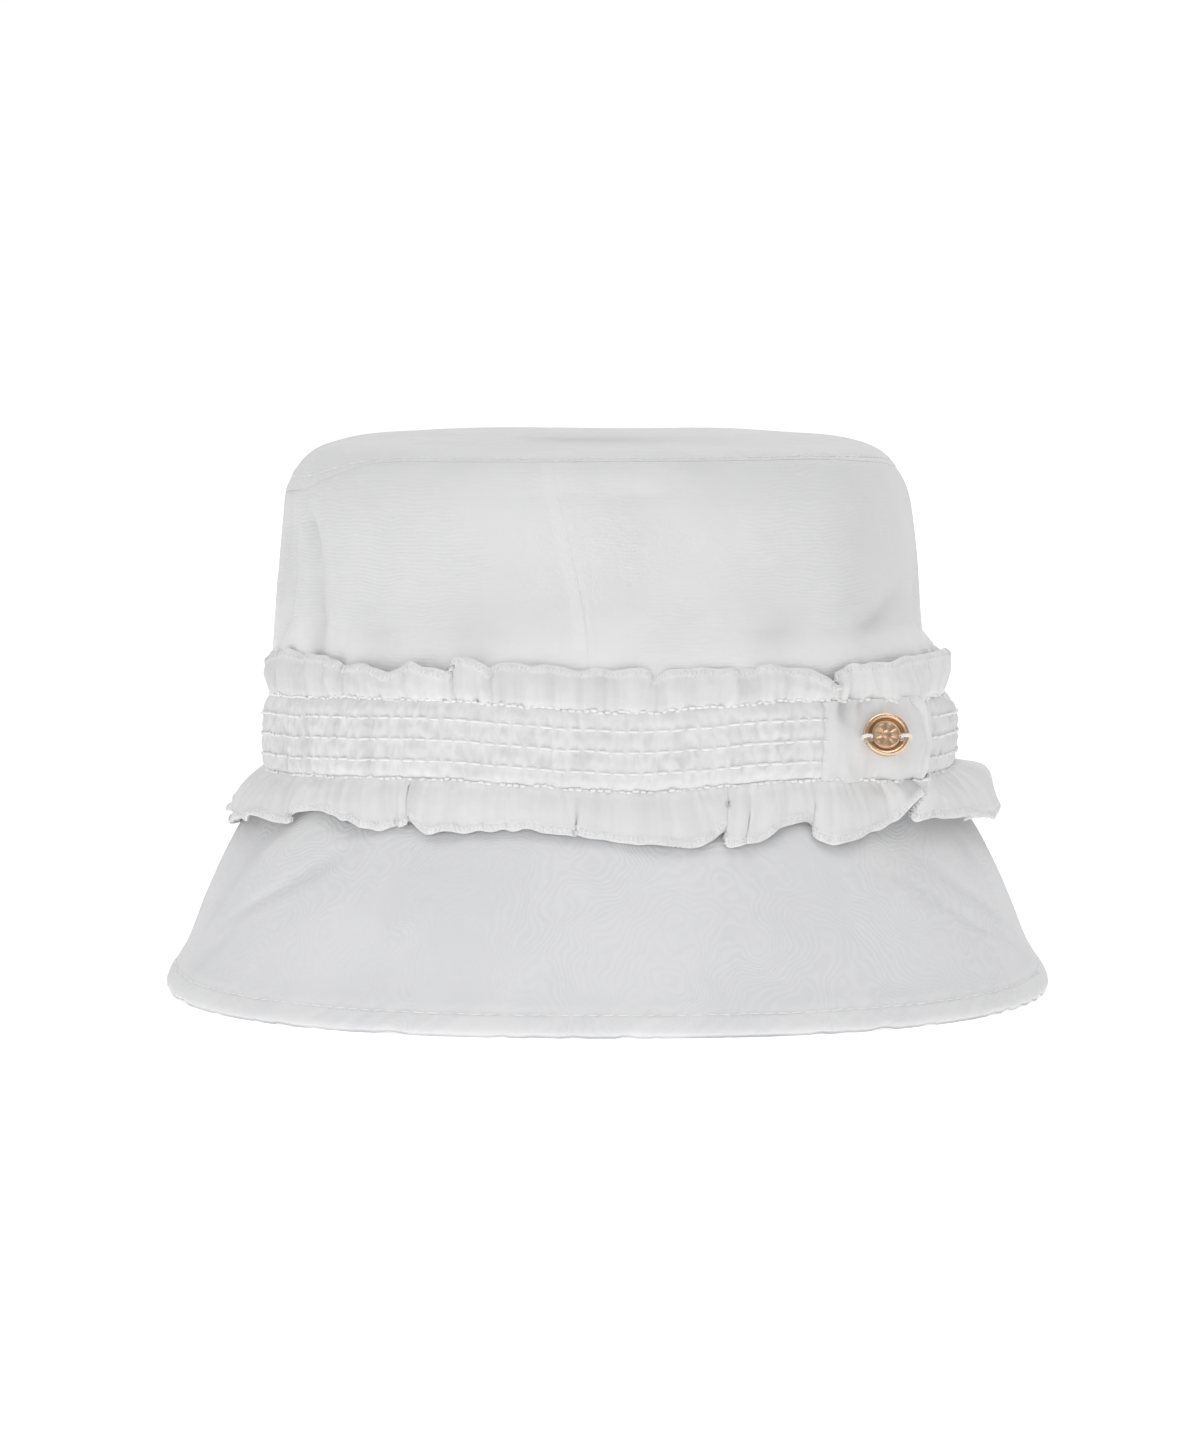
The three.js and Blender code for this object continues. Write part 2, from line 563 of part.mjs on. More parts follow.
/** The button: a dished disc with a raised rim, low petals on its flat middle and two slots. */
function button() {
  const columns = 4 * PETALS;
  const disc = roundSolid(columns, (share) => BUTTON_PROFILE.map(({ radius, height }) => {
    const turn = share * 2 * Math.PI;
    const lift = radius === PETAL_RADIUS ? PETAL_HEIGHT * Math.cos(PETALS * turn) : 0;
    return new THREE.Vector3(radius * Math.sin(turn), height + lift, radius * Math.cos(turn));
  }), true);
  const slotHeight = 6; // more than the button's, so it cuts right through
  const slots = [-SLOT_CENTRE, SLOT_CENTRE].map((x) => {
    const slot = new THREE.BoxGeometry(SLOT_WIDE, slotHeight, SLOT_TALL);
    slot.deleteAttribute('normal');
    slot.deleteAttribute('uv');
    return toSolid(slot.translate(x, 0, SLOT_DROP));
  });
  const cut = slots.reduce((body, slot) => body.subtract(slot), toSolid(disc));
  placeOnTab(addPiece('button', toGeometry(cut), PALE_GOLD));
}

/** One loop of thread, up through a slot and over the rim; side is -1 or 1. */
function buttonStitch(name, side) {
  const points = THREAD_ROUTE.map(({ out, up }) => new THREE.Vector3(side * out, up, SLOT_DROP));
  const strand = new THREE.Shape();
  strand.absarc(0, 0, THREAD, 0, 2 * Math.PI);
  const geometry = new THREE.ExtrudeGeometry(strand, {
    extrudePath: new THREE.CatmullRomCurve3(points),
    steps: 12,
    curveSegments: 3,
  });
  geometry.deleteAttribute('normal');
  geometry.deleteAttribute('uv');
  placeOnTab(addPiece(name, mergeVertices(geometry), WHITE_THREAD));
}

crownTip();
crownSide('crown_side_left', 'left');
crownSide('crown_side_right', 'right');
brim();
shirredBand();
bandTab();
ruffle('upper_ruffle', [...UPPER_FOLDS, ...backFolds(UPPER_BACK)], BAND_ROWS.length - 1, 1);
ruffle('lower_ruffle', [...LOWER_FOLDS, ...backFolds(LOWER_BACK)], 0, -1);
button();
buttonStitch('button_stitch_left', -1);
buttonStitch('button_stitch_right', 1);

export default hat;
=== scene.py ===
# %% [markdown]
# A child's ruffled bucket hat in thin white cotton. The hat is a crown of two side panels and an oval
# top, a bell-shaped brim, and one gathered strip sewn round the join of the two: the middle of the
# strip is shirred over rows of elastic, and its free edges stand up and hang down as ruffles. A small
# pale gold button closes it. The packed model fixes every place and size; this lesson gives it its
# cloth, its folds, its thread and its metal.

# %% Load the packed hat
import math

import bpy
import numpy as np
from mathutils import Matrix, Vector, noise


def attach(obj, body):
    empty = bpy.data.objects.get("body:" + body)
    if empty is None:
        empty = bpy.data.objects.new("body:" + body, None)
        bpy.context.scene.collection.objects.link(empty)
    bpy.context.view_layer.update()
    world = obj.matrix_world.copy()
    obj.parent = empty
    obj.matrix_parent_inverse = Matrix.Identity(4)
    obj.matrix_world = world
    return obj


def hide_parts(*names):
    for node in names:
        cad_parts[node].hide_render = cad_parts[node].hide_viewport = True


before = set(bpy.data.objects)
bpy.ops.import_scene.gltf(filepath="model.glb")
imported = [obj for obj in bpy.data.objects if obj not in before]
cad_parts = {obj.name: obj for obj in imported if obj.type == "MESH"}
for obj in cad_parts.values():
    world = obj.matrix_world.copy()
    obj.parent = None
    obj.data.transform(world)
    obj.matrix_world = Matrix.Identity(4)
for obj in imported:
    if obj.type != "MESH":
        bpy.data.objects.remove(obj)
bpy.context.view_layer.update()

BODY = "root"
MM = 0.001


print("nodes", sorted(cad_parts))

# %% [markdown]
# A long lens far away keeps the hat's sides nearly parallel, as a catalogue photograph does. The camera
# looks slightly down: the flat top of the crown shows as a narrow strip, and that strip's height, with
# the height of the rim's curve, gives the lens, the distance and the tilt.

# %% Camera
PICTURE_HEIGHT = 1440  # pixels of the photograph
FOCAL_PIXELS = 7870
SENSOR = 36
LOOK_DOWN = 4.87  # degrees
CAMERA_PLACE = (-1.85, -1943, 230)


def put(name, data):
    """A new object in the scene."""
    thing = bpy.data.objects.new(name, data)
    bpy.context.scene.collection.objects.link(thing)
    return thing


lens = bpy.data.cameras.new("camera")
lens.sensor_width = SENSOR
lens.lens = FOCAL_PIXELS / PICTURE_HEIGHT * SENSOR
lens.clip_start = 0.1
lens.clip_end = 50
camera = put("camera", lens)
camera.location = [side * MM for side in CAMERA_PLACE]
camera.rotation_euler = (math.radians(90 - LOOK_DOWN), 0, 0)
bpy.context.scene.camera = camera
print("lens", round(lens.lens, 1), "mm")

# %% [markdown]
# The main sizes and the section tables say the same as the solids do, so the cloth lies where they lie.
# A table has named columns and a row for each section. One smooth curve runs through its rows.

# %% Driving sizes and section tables, in millimetres and degrees
DEPTH_TO_WIDTH = 1.105
SQUARENESS = 2.4
BRIM_TOP = 49.7
TIP_MIDDLE = 134
CALM = 9  # folds fade out over this height towards a seam or the rim


def table(names, *rows):
    """A table with named columns, one array for each."""
    return dict(zip(names.split(), np.array(rows, float).T))


CROWN_PROFILE = table(
    "height outward shift",
    (50, 82.2, 0), (66, 81.2, -1.2), (84, 80.1, -2.3), (104, 78.9, -2.3), (116, 77.9, -2.3),
    (122, 76.8, -2.5), (127, 74.5, -2.9), (130.5, 71.6, -3.3), (132.6, 67.6, -3.6),
)
BRIM_PROFILE = table(
    "height outward",
    (0, 108.8), (2.2, 108.7), (5.7, 106.5), (10.6, 103.8), (20.5, 100), (30.4, 95.7), (40, 90.6),
    (BRIM_TOP, 83.4),
)
TIP_SEAM = table(
    "angle height",
    (-180, 132), (-130, 129.5), (-90, 122.5), (-64, 123.6), (-52, 127.5), (-42, 131.2), (-25, 132.2),
    (40, 132.2), (66, 130), (90, 127.5), (135, 130.5), (180, 132),
)
FRONT_SEAM = table("height angle", (50, -0.3), (92, -1.7), (110, -4), (125, -6.2), (133, -7.3))
BAND_ROWS = table("row height", (0, 55.2), (1, 59.6), (2, 64.6), (3, 69.6), (4, 74.2))
BAND_LINE = table(
    "angle rise outward neck tall",
    (-180, 0, 86, 83.8, 1), (-130, 0.8, 86.2, 84, 1), (-90, -3, 85.4, 82, 1), (-70, -0.8, 85.6, 83.6, 1),
    (-52, 0.6, 85.8, 84, 1), (-40, 1.9, 86, 84.2, 1), (-24, 2.4, 86, 84.3, 1), (-12, 1.4, 86.2, 84.4, 1),
    (0, 0.2, 86, 84.3, 1), (6, 0, 86, 84.3, 1), (12, 0.7, 86.2, 84.4, 1), (18, 1.3, 86.4, 84.5, 1),
    (25, 2.1, 86.6, 84.6, 1), (36, 1.7, 87, 84.8, 1), (46, 0.6, 87.2, 84.8, 1), (60, 0, 87, 84.4, 0.98),
    (90, -1.6, 86.3, 81.2, 0.9), (135, 0.8, 86.4, 84, 1), (180, 0, 86, 83.8, 1),
)
print("sections", {"crown": len(CROWN_PROFILE["height"]), "brim": len(BRIM_PROFILE["height"])})

# %% [markdown]
# Every round piece is an oval ring, a little squarer than an ellipse. An angle goes round from 0 at the
# front towards the button's side. The same few functions place every section of the hat.

# %% Reading a table


def between(share, low, high, leave, arrive):
    """One stretch of a smooth curve, from its two ends and how steeply it leaves and meets them."""
    curve = 2 * low - 2 * high + leave + arrive
    bend = 3 * high - 3 * low - 2 * leave - arrive
    return ((curve * share + bend) * share + leave) * share + low


def read(rows, column, value):
    """A column at any value of the table's first one, on one smooth curve through the rows."""
    at, level = next(iter(rows.values())), rows[column]
    last = len(at) - 1
    value = np.clip(value, at[0], at[-1])
    low = np.clip(np.searchsorted(at, value) - 1, 0, last - 1)
    before, high, after = np.maximum(low - 1, 0), low + 1, np.minimum(low + 2, last)
    span = at[high] - at[low]
    share = (value - at[low]) / span
    leave = (level[high] - level[before]) / (at[high] - at[before]) * span
    arrive = (level[after] - level[low]) / (at[after] - at[low]) * span
    return between(share, level[low], level[high], leave, arrive)


print("half width of the brim 25 mm up", round(float(read(BRIM_PROFILE, "outward", 25)), 1), "mm")

# %% Rings, folds and soft noise
SEED_STEP = 17.3  # how far apart in the noise two seeds lie


def wrap(angle):
    """The same angle between -180 and 180."""
    return (np.asarray(angle, float) + 180) % 360 - 180


def all_round(columns):
    """Angles evenly round the hat."""
    return np.arange(columns) * 360 / columns


def ring(angle, outward, height, shift=0.0):
    """Points on oval rings, by angle, half width and height."""
    turn = np.radians(angle)
    wide = np.abs(np.sin(turn)) ** SQUARENESS
    deep = np.abs(np.cos(turn) / DEPTH_TO_WIDTH) ** SQUARENESS
    reach = outward / (wide + deep) ** (1 / SQUARENESS)
    x, y, z = np.broadcast_arrays(shift + reach * np.sin(turn), -reach * np.cos(turn), height)
    return np.stack([x, y, z], -1).astype(float)


def folds_at(folds, angle, height):
    """How far the folds of a table stand out at each place."""
    total = np.zeros(np.broadcast(angle, height).shape)
    for row in zip(*folds.values()):
        fold = dict(zip(folds, row))
        up = height - fold["height"]
        across = wrap(angle - fold["angle"] - fold["lean"] * up) / fold["wide"]
        total += fold["out"] * np.exp(-(across**2) - (up / fold["tall"]) ** 2)
    return total


def hollows(folds, angle, height):
    """How deep the folds of a table lie at each place."""
    return np.clip(-folds_at(folds, angle, height), 0, None)


def smooth(low, high, value):
    """0 on low's side, 1 on high's side, eased between."""
    share = np.clip((np.asarray(value, float) - low) / (high - low), 0, 1)
    return share * share * (3 - 2 * share)


def bell(value, middle, wide):
    """1 in the middle, and less and less to both sides."""
    return np.exp(-(((value - middle) / wide) ** 2))


def over(stretch, value):
    """1 over a stretch and 0 outside it. The stretch is two pairs, from outside to inside, for its ends."""
    start, end = stretch
    return smooth(*start, value) * smooth(*end, value)


def ripple(points, size, tall, seed):
    """Soft noise from -1 to 1 at points in millimetres; its lumps are this size, and taller by this much."""
    flat = (points / (size * np.array((1, 1, tall), float)) + seed * SEED_STEP).reshape(-1, 3)
    return np.array([noise.noise(Vector(point)) for point in flat]).reshape(points.shape[:-1])


print("rim, front and side", ring(np.array([0.0, 90.0]), 108.8, 0.0).round(1).tolist())

# %% [markdown]
# Cloth is thin, but a mesh of it still needs two sides and closed edges. These helpers take a grid of
# points for the outside, work out which way it faces, and add the inside and the edges between them.
# They also lay a map over the grid in millimetres of cloth, so a weave can follow the surface.

# %% The faces of a piece of cloth


def facing(points, closed):
    """Unit vectors out of a grid whose columns go round and whose rows go up."""
    if closed:
        padded = np.concatenate([points[:, -1:], points, points[:, :1]], 1)
        along = padded[:, 2:] - padded[:, :-2]
    else:
        along = np.gradient(points, axis=1)
    up = np.gradient(points, axis=0)
    out = np.cross(along, up)
    return out / np.maximum(np.linalg.norm(out, axis=-1, keepdims=True), 1e-9)


def cloth_faces(rows, columns, closed):
    """The quads of both sides and all edges of a grid, and the row and column of each of their corners."""
    faces, places = [], []

    def add(*corners):
        parts = [np.stack(np.broadcast_arrays(*part), -1).reshape(-1, 4) for part in zip(*corners)]
        down, right, inside = parts
        faces.append((inside * rows + down) * columns + right % columns)
        places.append(np.stack(np.broadcast_arrays(down, right), -1))

    row, column = np.mgrid[0 : rows - 1, 0 : columns if closed else columns - 1]
    outside = [(row, column, 0), (row, column + 1, 0), (row + 1, column + 1, 0), (row + 1, column, 0)]
    add(*outside)
    add(*[(down, right, 1) for down, right, _ in reversed(outside)])
    side, head = column[0], rows - 1
    add((0, side, 1), (0, side + 1, 1), (0, side + 1, 0), (0, side, 0))
    add((head, side, 0), (head, side + 1, 0), (head, side + 1, 1), (head, side, 1))
    if not closed:
        level, end = row[:, 0], columns - 1
        add((level, 0, 0), (level + 1, 0, 0), (level + 1, 0, 1), (level, 0, 1))
        add((level, end, 1), (level + 1, end, 1), (level + 1, end, 0), (level, end, 0))
    return np.concatenate(faces), np.concatenate(places)


print("faces of a small piece", len(cloth_faces(3, 4, False)[0]))

# %% Turning a grid of points into cloth


def crease_borders(mesh, rows, columns, closed):
    """Marks the outline of both sides as sharp."""
    ends = np.zeros(len(mesh.edges) * 2, int)
    mesh.edges.foreach_get("vertices", ends)
    ends = ends.reshape(-1, 2)
    inside, level, side = ends // (rows * columns), ends % (rows * columns) // columns, ends % columns
    on_border = (level == 0).all(1) | (level == rows - 1).all(1)
    if not closed:
        on_border |= (side == 0).all(1) | (side == columns - 1).all(1)
    sharp = on_border & (inside[:, 0] == inside[:, 1])
    mesh.attributes.new("sharp_edge", "BOOLEAN", "EDGE").data.foreach_set("value", sharp)


def cloth(name, outer, thick, closed, **marks):
    """A closed piece of cloth from a grid of outside points in millimetres."""
    rows, columns = outer.shape[:2]
    inner = outer - facing(outer, closed) * np.broadcast_to(thick, (rows, columns))[..., None]
    points = np.concatenate([outer.reshape(-1, 3), inner.reshape(-1, 3)])
    faces, places = cloth_faces(rows, columns, closed)
    mesh = bpy.data.meshes.new(name)
    mesh.from_pydata(points * MM, [], faces.tolist())
    step = np.linalg.norm(np.diff(outer[:, :1], axis=0), axis=-1)
    climb = np.concatenate([[0], np.cumsum(step)])
    lap = np.linalg.norm(outer[rows // 2, 1:] - outer[rows // 2, :-1], axis=-1).mean()
    map_mm = np.stack([places[..., 1] * lap, climb[places[..., 0]]], -1)
    mesh.uv_layers.new(name="cloth").data.foreach_set("uv", map_mm.ravel())
    for mark, values in marks.items():
        layer = mesh.attributes.new(mark, "FLOAT", "POINT")
        layer.data.foreach_set("value", np.tile(np.broadcast_to(values, (rows, columns)).ravel(), 2))
    mesh.shade_smooth()
    crease_borders(mesh, rows, columns, closed)
    print(name, len(mesh.polygons) * 2, "triangles")
    return put(name, mesh)


def dress(piece, finish, slot, *nodes):
    """Gives a piece its finish and its body, and hides the nodes that it stands for."""
    piece.data.materials.append(finish)
    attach(piece, BODY)
    if nodes:
        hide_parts(*nodes)
    return piece


# %% [markdown]
# Finishes and repeated details are both node trees. One small class wraps a socket, so that a sum can be
# written with + and *, and every other node comes from one method that takes its type, its settings and
# its inputs. Whatever is the same all over a surface is set straight on the shader.

# %% A way to write node trees


class Value:
    """One socket of a node tree, which can be used in sums."""

    def __init__(self, nodes, socket):
        self.nodes = nodes
        self.socket = socket

    def math(self, operation, *others):
        inputs = dict(enumerate((self, *others)))
        return self.nodes.add("ShaderNodeMath", {"operation": operation}, inputs)

    def __add__(self, other):
        return self.math("ADD", other)

    __radd__ = __add__

    def __mul__(self, other):
        return self.math("MULTIPLY", other)

    __rmul__ = __mul__


class Nodes:
    """A node tree being built."""

    def __init__(self, tree):
        self.tree = tree

    def add(self, kind, settings=None, inputs=None, output=0):
        """A node of any kind: its settings first, then the values or links of its sockets."""
        node = self.tree.nodes.new(kind)
        for setting, value in (settings or {}).items():
            setattr(node, setting, value)
        for socket, value in (inputs or {}).items():
            if isinstance(value, Value):
                self.tree.links.new(value.socket, node.inputs[socket])
            else:
                node.inputs[socket].default_value = value
        return Value(self, node.outputs[output]) if node.outputs else node


print("sums of sockets can be written")

# %% A finish round one shader


class Finish(Nodes):
    """A material round one Principled shader."""

    def __init__(self, name, **constants):
        self.material = bpy.data.materials.new(name)
        self.material.use_nodes = True
        super().__init__(self.material.node_tree)
        self.shader = next(node for node in self.tree.nodes if node.type == "BSDF_PRINCIPLED")
        for socket, value in constants.items():
            self.shader.inputs[socket.replace("_", " ")].default_value = value

    def feed(self, socket, value):
        """Links a sum to one of the shader's sockets."""
        self.tree.links.new(value.socket, self.shader.inputs[socket])

    def blend(self, share, low, high):
        """A colour between two, by a share from 0 to 1."""
        return self.add("ShaderNodeMix", {"data_type": "RGBA"}, {0: share, 6: low, 7: high}, 2)

    def ramp(self, share, low, high):
        """0 at low, 1 at high, eased between."""
        inputs = {"Value": share, "From Min": low, "From Max": high}
        return self.add("ShaderNodeMapRange", {"interpolation_type": "SMOOTHSTEP"}, inputs)

    def place(self):
        """Where a point is on the object, in metres."""
        return self.add("ShaderNodeTexCoord", output=3)

    def mark(self, name):
        """A number that the mesh carries under this name."""
        return self.add("ShaderNodeAttribute", {"attribute_name": name}, output=2)

    def clouds(self, scale, detail=2.0):
        """Soft noise, mostly from 0.3 to 0.7."""
        inputs = {"Vector": self.place(), "Scale": scale, "Detail": detail}
        return self.add("ShaderNodeTexNoise", inputs=inputs)

    def apart(self, vector):
        """The three parts of a vector."""
        node = self.add("ShaderNodeSeparateXYZ", inputs={0: vector}).socket.node
        return [Value(self, socket) for socket in node.outputs]

    def bump(self, height, distance):
        """Links a height, in shares of a distance in metres, to the shader's normal."""
        self.feed("Normal", self.add("ShaderNodeBump", inputs={"Height": height, "Distance": distance}))


print("finishes take", ", ".join(name for name in vars(Finish) if not name.startswith("_")))

# %% [markdown]
# The cloth is a fine plain weave in two layers. Where two such layers lie on each other, their threads
# beat together into faint watered lines, like the grain in wood: the lines follow the levels of some soft
# noise. Seam allowances and hems have more layers and look lighter; the same lighter colour is also
# painted where the cloth would lie in shade, as painted light. Fold hollows, the hem's stitching and the
# rim are painted darker, as painted shade. The meshes carry a mark for each of the two.
# Light goes a little way into the cloth, which keeps its folds pale.

# %% White cotton voile
THREAD_PITCH = 0.42  # millimetres from one thread to the next
BRIM_SHADE = (0.798, 0.800, 0.814, 1)
BRIM_LIGHT = (0.833, 0.834, 0.846, 1)
CROWN_SHADE = (0.799, 0.800, 0.806, 1)
CROWN_LIGHT = (0.831, 0.832, 0.837, 1)
GATHERED_SHADE = (0.715, 0.715, 0.718, 1)
GATHERED_LIGHT = (0.752, 0.752, 0.752, 1)
# the colour of more layers of cloth, and of painted light where shade would fall
THICKER_CLOTH_AND_PAINTED_LIGHT = (0.922, 0.922, 0.924, 1)
# the colour of painted shade
PAINTED_SHADE_CLOTH = (0.42, 0.42, 0.43, 1)
LIGHT_DEPTH = 0.0004  # metres that light goes into the cloth
CLOTH_RELIEF = 0.0005  # metres, the whole height of the fine relief
PAINTED_HOLLOW_SHADE = 0.05  # how much painted shade a fold's hollow gets, for each millimetre of its depth


def voile(name, shade, light, grain, bend, level, watered):
    """Thin white cotton. grain is how fine the watered pattern is and bend how far its lines bend, level is
    how many of its lines are level ones in each metre, watered is how plain it is."""
    finish = Finish(
        name, Roughness=0.85, Specular_IOR_Level=0.2,
        Subsurface_Weight=0.6, Subsurface_Scale=LIGHT_DEPTH, Subsurface_Radius=(1, 1, 1),
    )
    warp, weft, _ = finish.apart(finish.add("ShaderNodeUVMap", {"uv_map": "cloth"}))
    turn = math.tau / THREAD_PITCH
    threads = (warp * turn).math("SINE") * (weft * turn).math("SINE")
    _, _, height = finish.apart(finish.place())
    levels = finish.clouds(grain, 3.0) * bend + finish.clouds(150) * 2.6 + height * level
    lines = (levels * math.tau).math("SINE") * finish.ramp(finish.clouds(24), 0.36, 0.56)
    tone = finish.ramp(finish.clouds(34, 3.0), 0.32, 0.68) + lines * watered
    # Base colour: lighter towards the first mark, for more layers of cloth and for painted light
    layered = finish.blend(finish.mark("layers"), finish.blend(tone, shade, light), THICKER_CLOTH_AND_PAINTED_LIGHT)
    # then darker towards the second mark, painted shade in hollows, along the hem's stitching and at the rim
    finish.feed("Base Color", finish.blend(finish.mark("shaded"), layered, PAINTED_SHADE_CLOTH))
    finish.feed("Roughness", finish.clouds(700) * 0.2 + 0.75)
    finish.bump(threads * 0.04 + finish.clouds(170, 4.0) * 0.8 + lines * (watered * 0.12), CLOTH_RELIEF)
    return finish.material


CROWN_CLOTH = voile("crown_voile", CROWN_SHADE, CROWN_LIGHT, grain=22, bend=7, level=1050, watered=0.38)
BRIM_CLOTH = voile("brim_voile", BRIM_SHADE, BRIM_LIGHT, grain=17, bend=76, level=0, watered=0.46)
GATHERED_CLOTH = voile("gathered_voile", GATHERED_SHADE, GATHERED_LIGHT, grain=30, bend=0, level=0, watered=0)
print("cloth finishes", [finish.name for finish in (CROWN_CLOTH, BRIM_CLOTH, GATHERED_CLOTH)])

# %% [markdown]
# The crown's side is two panels. Their folds come from a table, a row for each: where it is, how wide
# and tall, how it leans and how far it stands out. Finer relief is noise that fades towards the seams,
# and small puckers hang from the top seam, where the longer edge was eased into the shorter one.

# %% The crown's folds and seams
CROWN_FOLDS = table(
    "angle height wide tall lean out",
    (-51.5, 93, 2.6, 17, -0.13, -2.6), (-58, 97, 3.4, 17, -0.1, 1.1), (-67, 93, 2.6, 9, 0.45, -1.6),
    (-74, 108, 3, 13, 0.2, -0.9), (-57, 117, 2.4, 9, -0.5, -1.4), (-68, 104, 12, 24, 0, -1.4),
    (-36, 91, 5, 9, -0.3, -1.8), (-20, 92, 6, 9, 0, -1.3), (12, 92, 5, 8, 0.2, -1),
    (29, 92, 4.4, 9, 0.5, -1.9), (36, 102, 7, 9, 0.8, 1), (47, 114, 7, 13, 0, -1.5),
    (51, 93, 5, 8, 1, -2.1), (76, 100, 6, 20, 0.2, -1.2), (112, 96, 7, 18, -0.3, -1.6),
    (150, 92, 7, 12, 0.3, -1.3), (-168, 100, 8, 16, 0.2, -1.2), (-140, 90, 6, 14, -0.4, -1.5),
    (-105, 98, 7, 18, 0.3, -1.4),
)
CROWN_FOOT = 50
SEAM_OVERLAP = 0.45  # degrees of the right panel that lie under the left one at the front, and so at the back
SEAM_UNDER = 0.08  # millimetres
SEAM_ALLOWANCE = 2.9  # millimetres, beside the front seam
TIP_ALLOWANCE = 7.5  # millimetres, under the top seam
MM_PER_DEGREE = math.radians(1) * 88  # along the front of the crown


def tip_seam(angle):
    """The height of the seam between the crown's side and its top."""
    return read(TIP_SEAM, "height", wrap(angle))


def band_line(column, angle):
    """A column of the band's line, at any angle."""
    return read(BAND_LINE, column, wrap(angle))


def from_front_seam(angle, height):
    """Millimetres of cloth from the front seam, on the button's side of it."""
    return wrap(angle - read(FRONT_SEAM, "angle", height)) * MM_PER_DEGREE


print("top seam at the front", round(float(tip_seam(0)), 1), "mm up")

# %% The crown's sides
CROWN_THICK = 1.0
HELD_BACK = 1.2  # millimetres from the strip's neck to the crown's cloth behind it
SWELL_FROM, SWELL_FULL = 87.5, 83.6  # heights between which the crown swells out behind the ruffle
SWELL_EARLIER = 5.5  # millimetres higher up that the swell starts over the front
SWELL_SIDES = (80, 64)  # degrees from the front, between which it comes to start there
QUIET, LIVELY = 84, 93  # heights between which the folds grow to their full depth
PUCKERED = table("angle wide", (40, 14), (-45, 12))  # where the top seam is puckered most
SEAM_RIDGE, SEAM_GROOVE = 0.05, 0.12  # over the front seam's allowance, and at the top seam
ALLOWANCE_SEEN = ((-28, -12), (22, 6))  # degrees over which the top seam's allowance shows
FOOT_PAINTED_LIGHT = (99, 85.5)  # heights between which the cloth is painted lighter towards the ruffle, against the ruffle's shade
CROWDING = 0.0016  # how much closer the columns lie at a panel's ends


def crown_surface(angle, height):
    """The outside of the crown's side. Behind the ruffle it swells out to where the strip holds it."""
    outward = read(CROWN_PROFILE, "outward", height)
    shift = read(CROWN_PROFILE, "shift", height)
    reached = outward + shift * np.sin(np.radians(angle))
    swell_from = SWELL_FROM + SWELL_EARLIER * smooth(*SWELL_SIDES, np.abs(wrap(angle)))
    held = band_line("neck", angle) - HELD_BACK
    outward = outward + np.maximum(held - reached, 0) * smooth(swell_from, SWELL_FULL, height)
    below = tip_seam(angle) - height
    plain = ring(angle, outward, height, shift)
    calm = np.clip(below / CALM, 0, 1) * (0.3 + 0.7 * smooth(QUIET, LIVELY, height))
    soft = 0.35 * ripple(plain, 17, 1.6, 1) + 0.14 * ripple(plain, 7, 1.5, 2)
    at_corner = sum(bell(wrap(angle), *corner) for corner in zip(*PUCKERED.values()))
    puckers = ripple(plain, 3.8, 3, 3) * np.exp(-below / 6) * (0.2 + 0.7 * at_corner)
    drawn_in = 0.3 * ripple(plain, 4.5, 4, 4) * smooth(98, 84, height)
    beside = from_front_seam(angle, height)
    ridge = smooth(-SEAM_ALLOWANCE - 0.3, -SEAM_ALLOWANCE, beside) * smooth(0.4, 0, beside)
    relief = folds_at(CROWN_FOLDS, angle, height) * calm + soft + puckers + drawn_in + SEAM_RIDGE * ridge
    groove = SEAM_GROOVE * np.exp(-below / 0.5)
    return ring(angle, outward + relief - groove, height, shift)


def crown_side(name, left):
    """One panel, from the front seam to the back seam. Its rows lie closer together near the top."""
    columns, rows = 210, 84
    share = np.linspace(0, 1, columns)
    share = share - CROWDING * np.sin(math.tau * share)
    climb = 1 - (1 - np.linspace(0, 1, rows)[:, None]) ** 1.35
    seam = read(FRONT_SEAM, "angle", CROWN_FOOT + climb * (tip_seam(0) - CROWN_FOOT))
    first, last = (-180, seam) if left else (seam - SEAM_OVERLAP, 180 + SEAM_OVERLAP)
    angle = first + share * (last - first)
    height = CROWN_FOOT + climb * (tip_seam(angle) - 0.1 - CROWN_FOOT)
    beside = from_front_seam(angle, height)
    allowance = smooth(-SEAM_ALLOWANCE - 0.7, -SEAM_ALLOWANCE, beside) * smooth(1.1, 0.4, beside)
    below = tip_seam(angle) - height
    under = smooth(TIP_ALLOWANCE + 0.6, TIP_ALLOWANCE - 0.4, below)
    under = under * over(ALLOWANCE_SEEN, angle) + 0.5 * np.exp(-below / 3)
    # painted light towards the ruffle, where the crown lies in its shade
    foot = smooth(*FOOT_PAINTED_LIGHT, height)
    points = crown_surface(angle, height)
    mottled = 0.7 + 0.6 * ripple(points, 9, 0.7, 51)
    layers = np.clip(0.2 * allowance + 0.42 * under * mottled + foot, 0, 1)
    # painted shade in the hollows of the folds
    shaded = PAINTED_HOLLOW_SHADE * hollows(CROWN_FOLDS, angle, height)
    if not left:
        from_end = np.minimum(angle - first, last - angle)
        under_left = SEAM_UNDER * smooth(SEAM_OVERLAP, 0.6 * SEAM_OVERLAP, from_end)
        points = points - facing(points, False) * under_left[..., None]
    return cloth(name, points, CROWN_THICK, False, layers=layers, shaded=shaded)


for side, name in ((True, "left"), (False, "right")):
    panel = crown_side(f"crown_side_{name}_cloth", side)
    dress(panel, CROWN_CLOTH, "white_voile", f"crown_side_{name}")

# %% [markdown]
# The top is one oval panel, nearly flat, that bends down to its seam. It is a grid in rings round the
# middle. The rings crowd together at the rounded corner, where the bend is tight.

# %% The crown's top
TIP_ROUNDNESS = 16
TIP_SHIFT = -3
TIP_HOLE = 0.004  # share of the top that its smallest ring goes round, too small to see
TIP_STITCH = 1.7  # millimetres from the seam to the topstitching


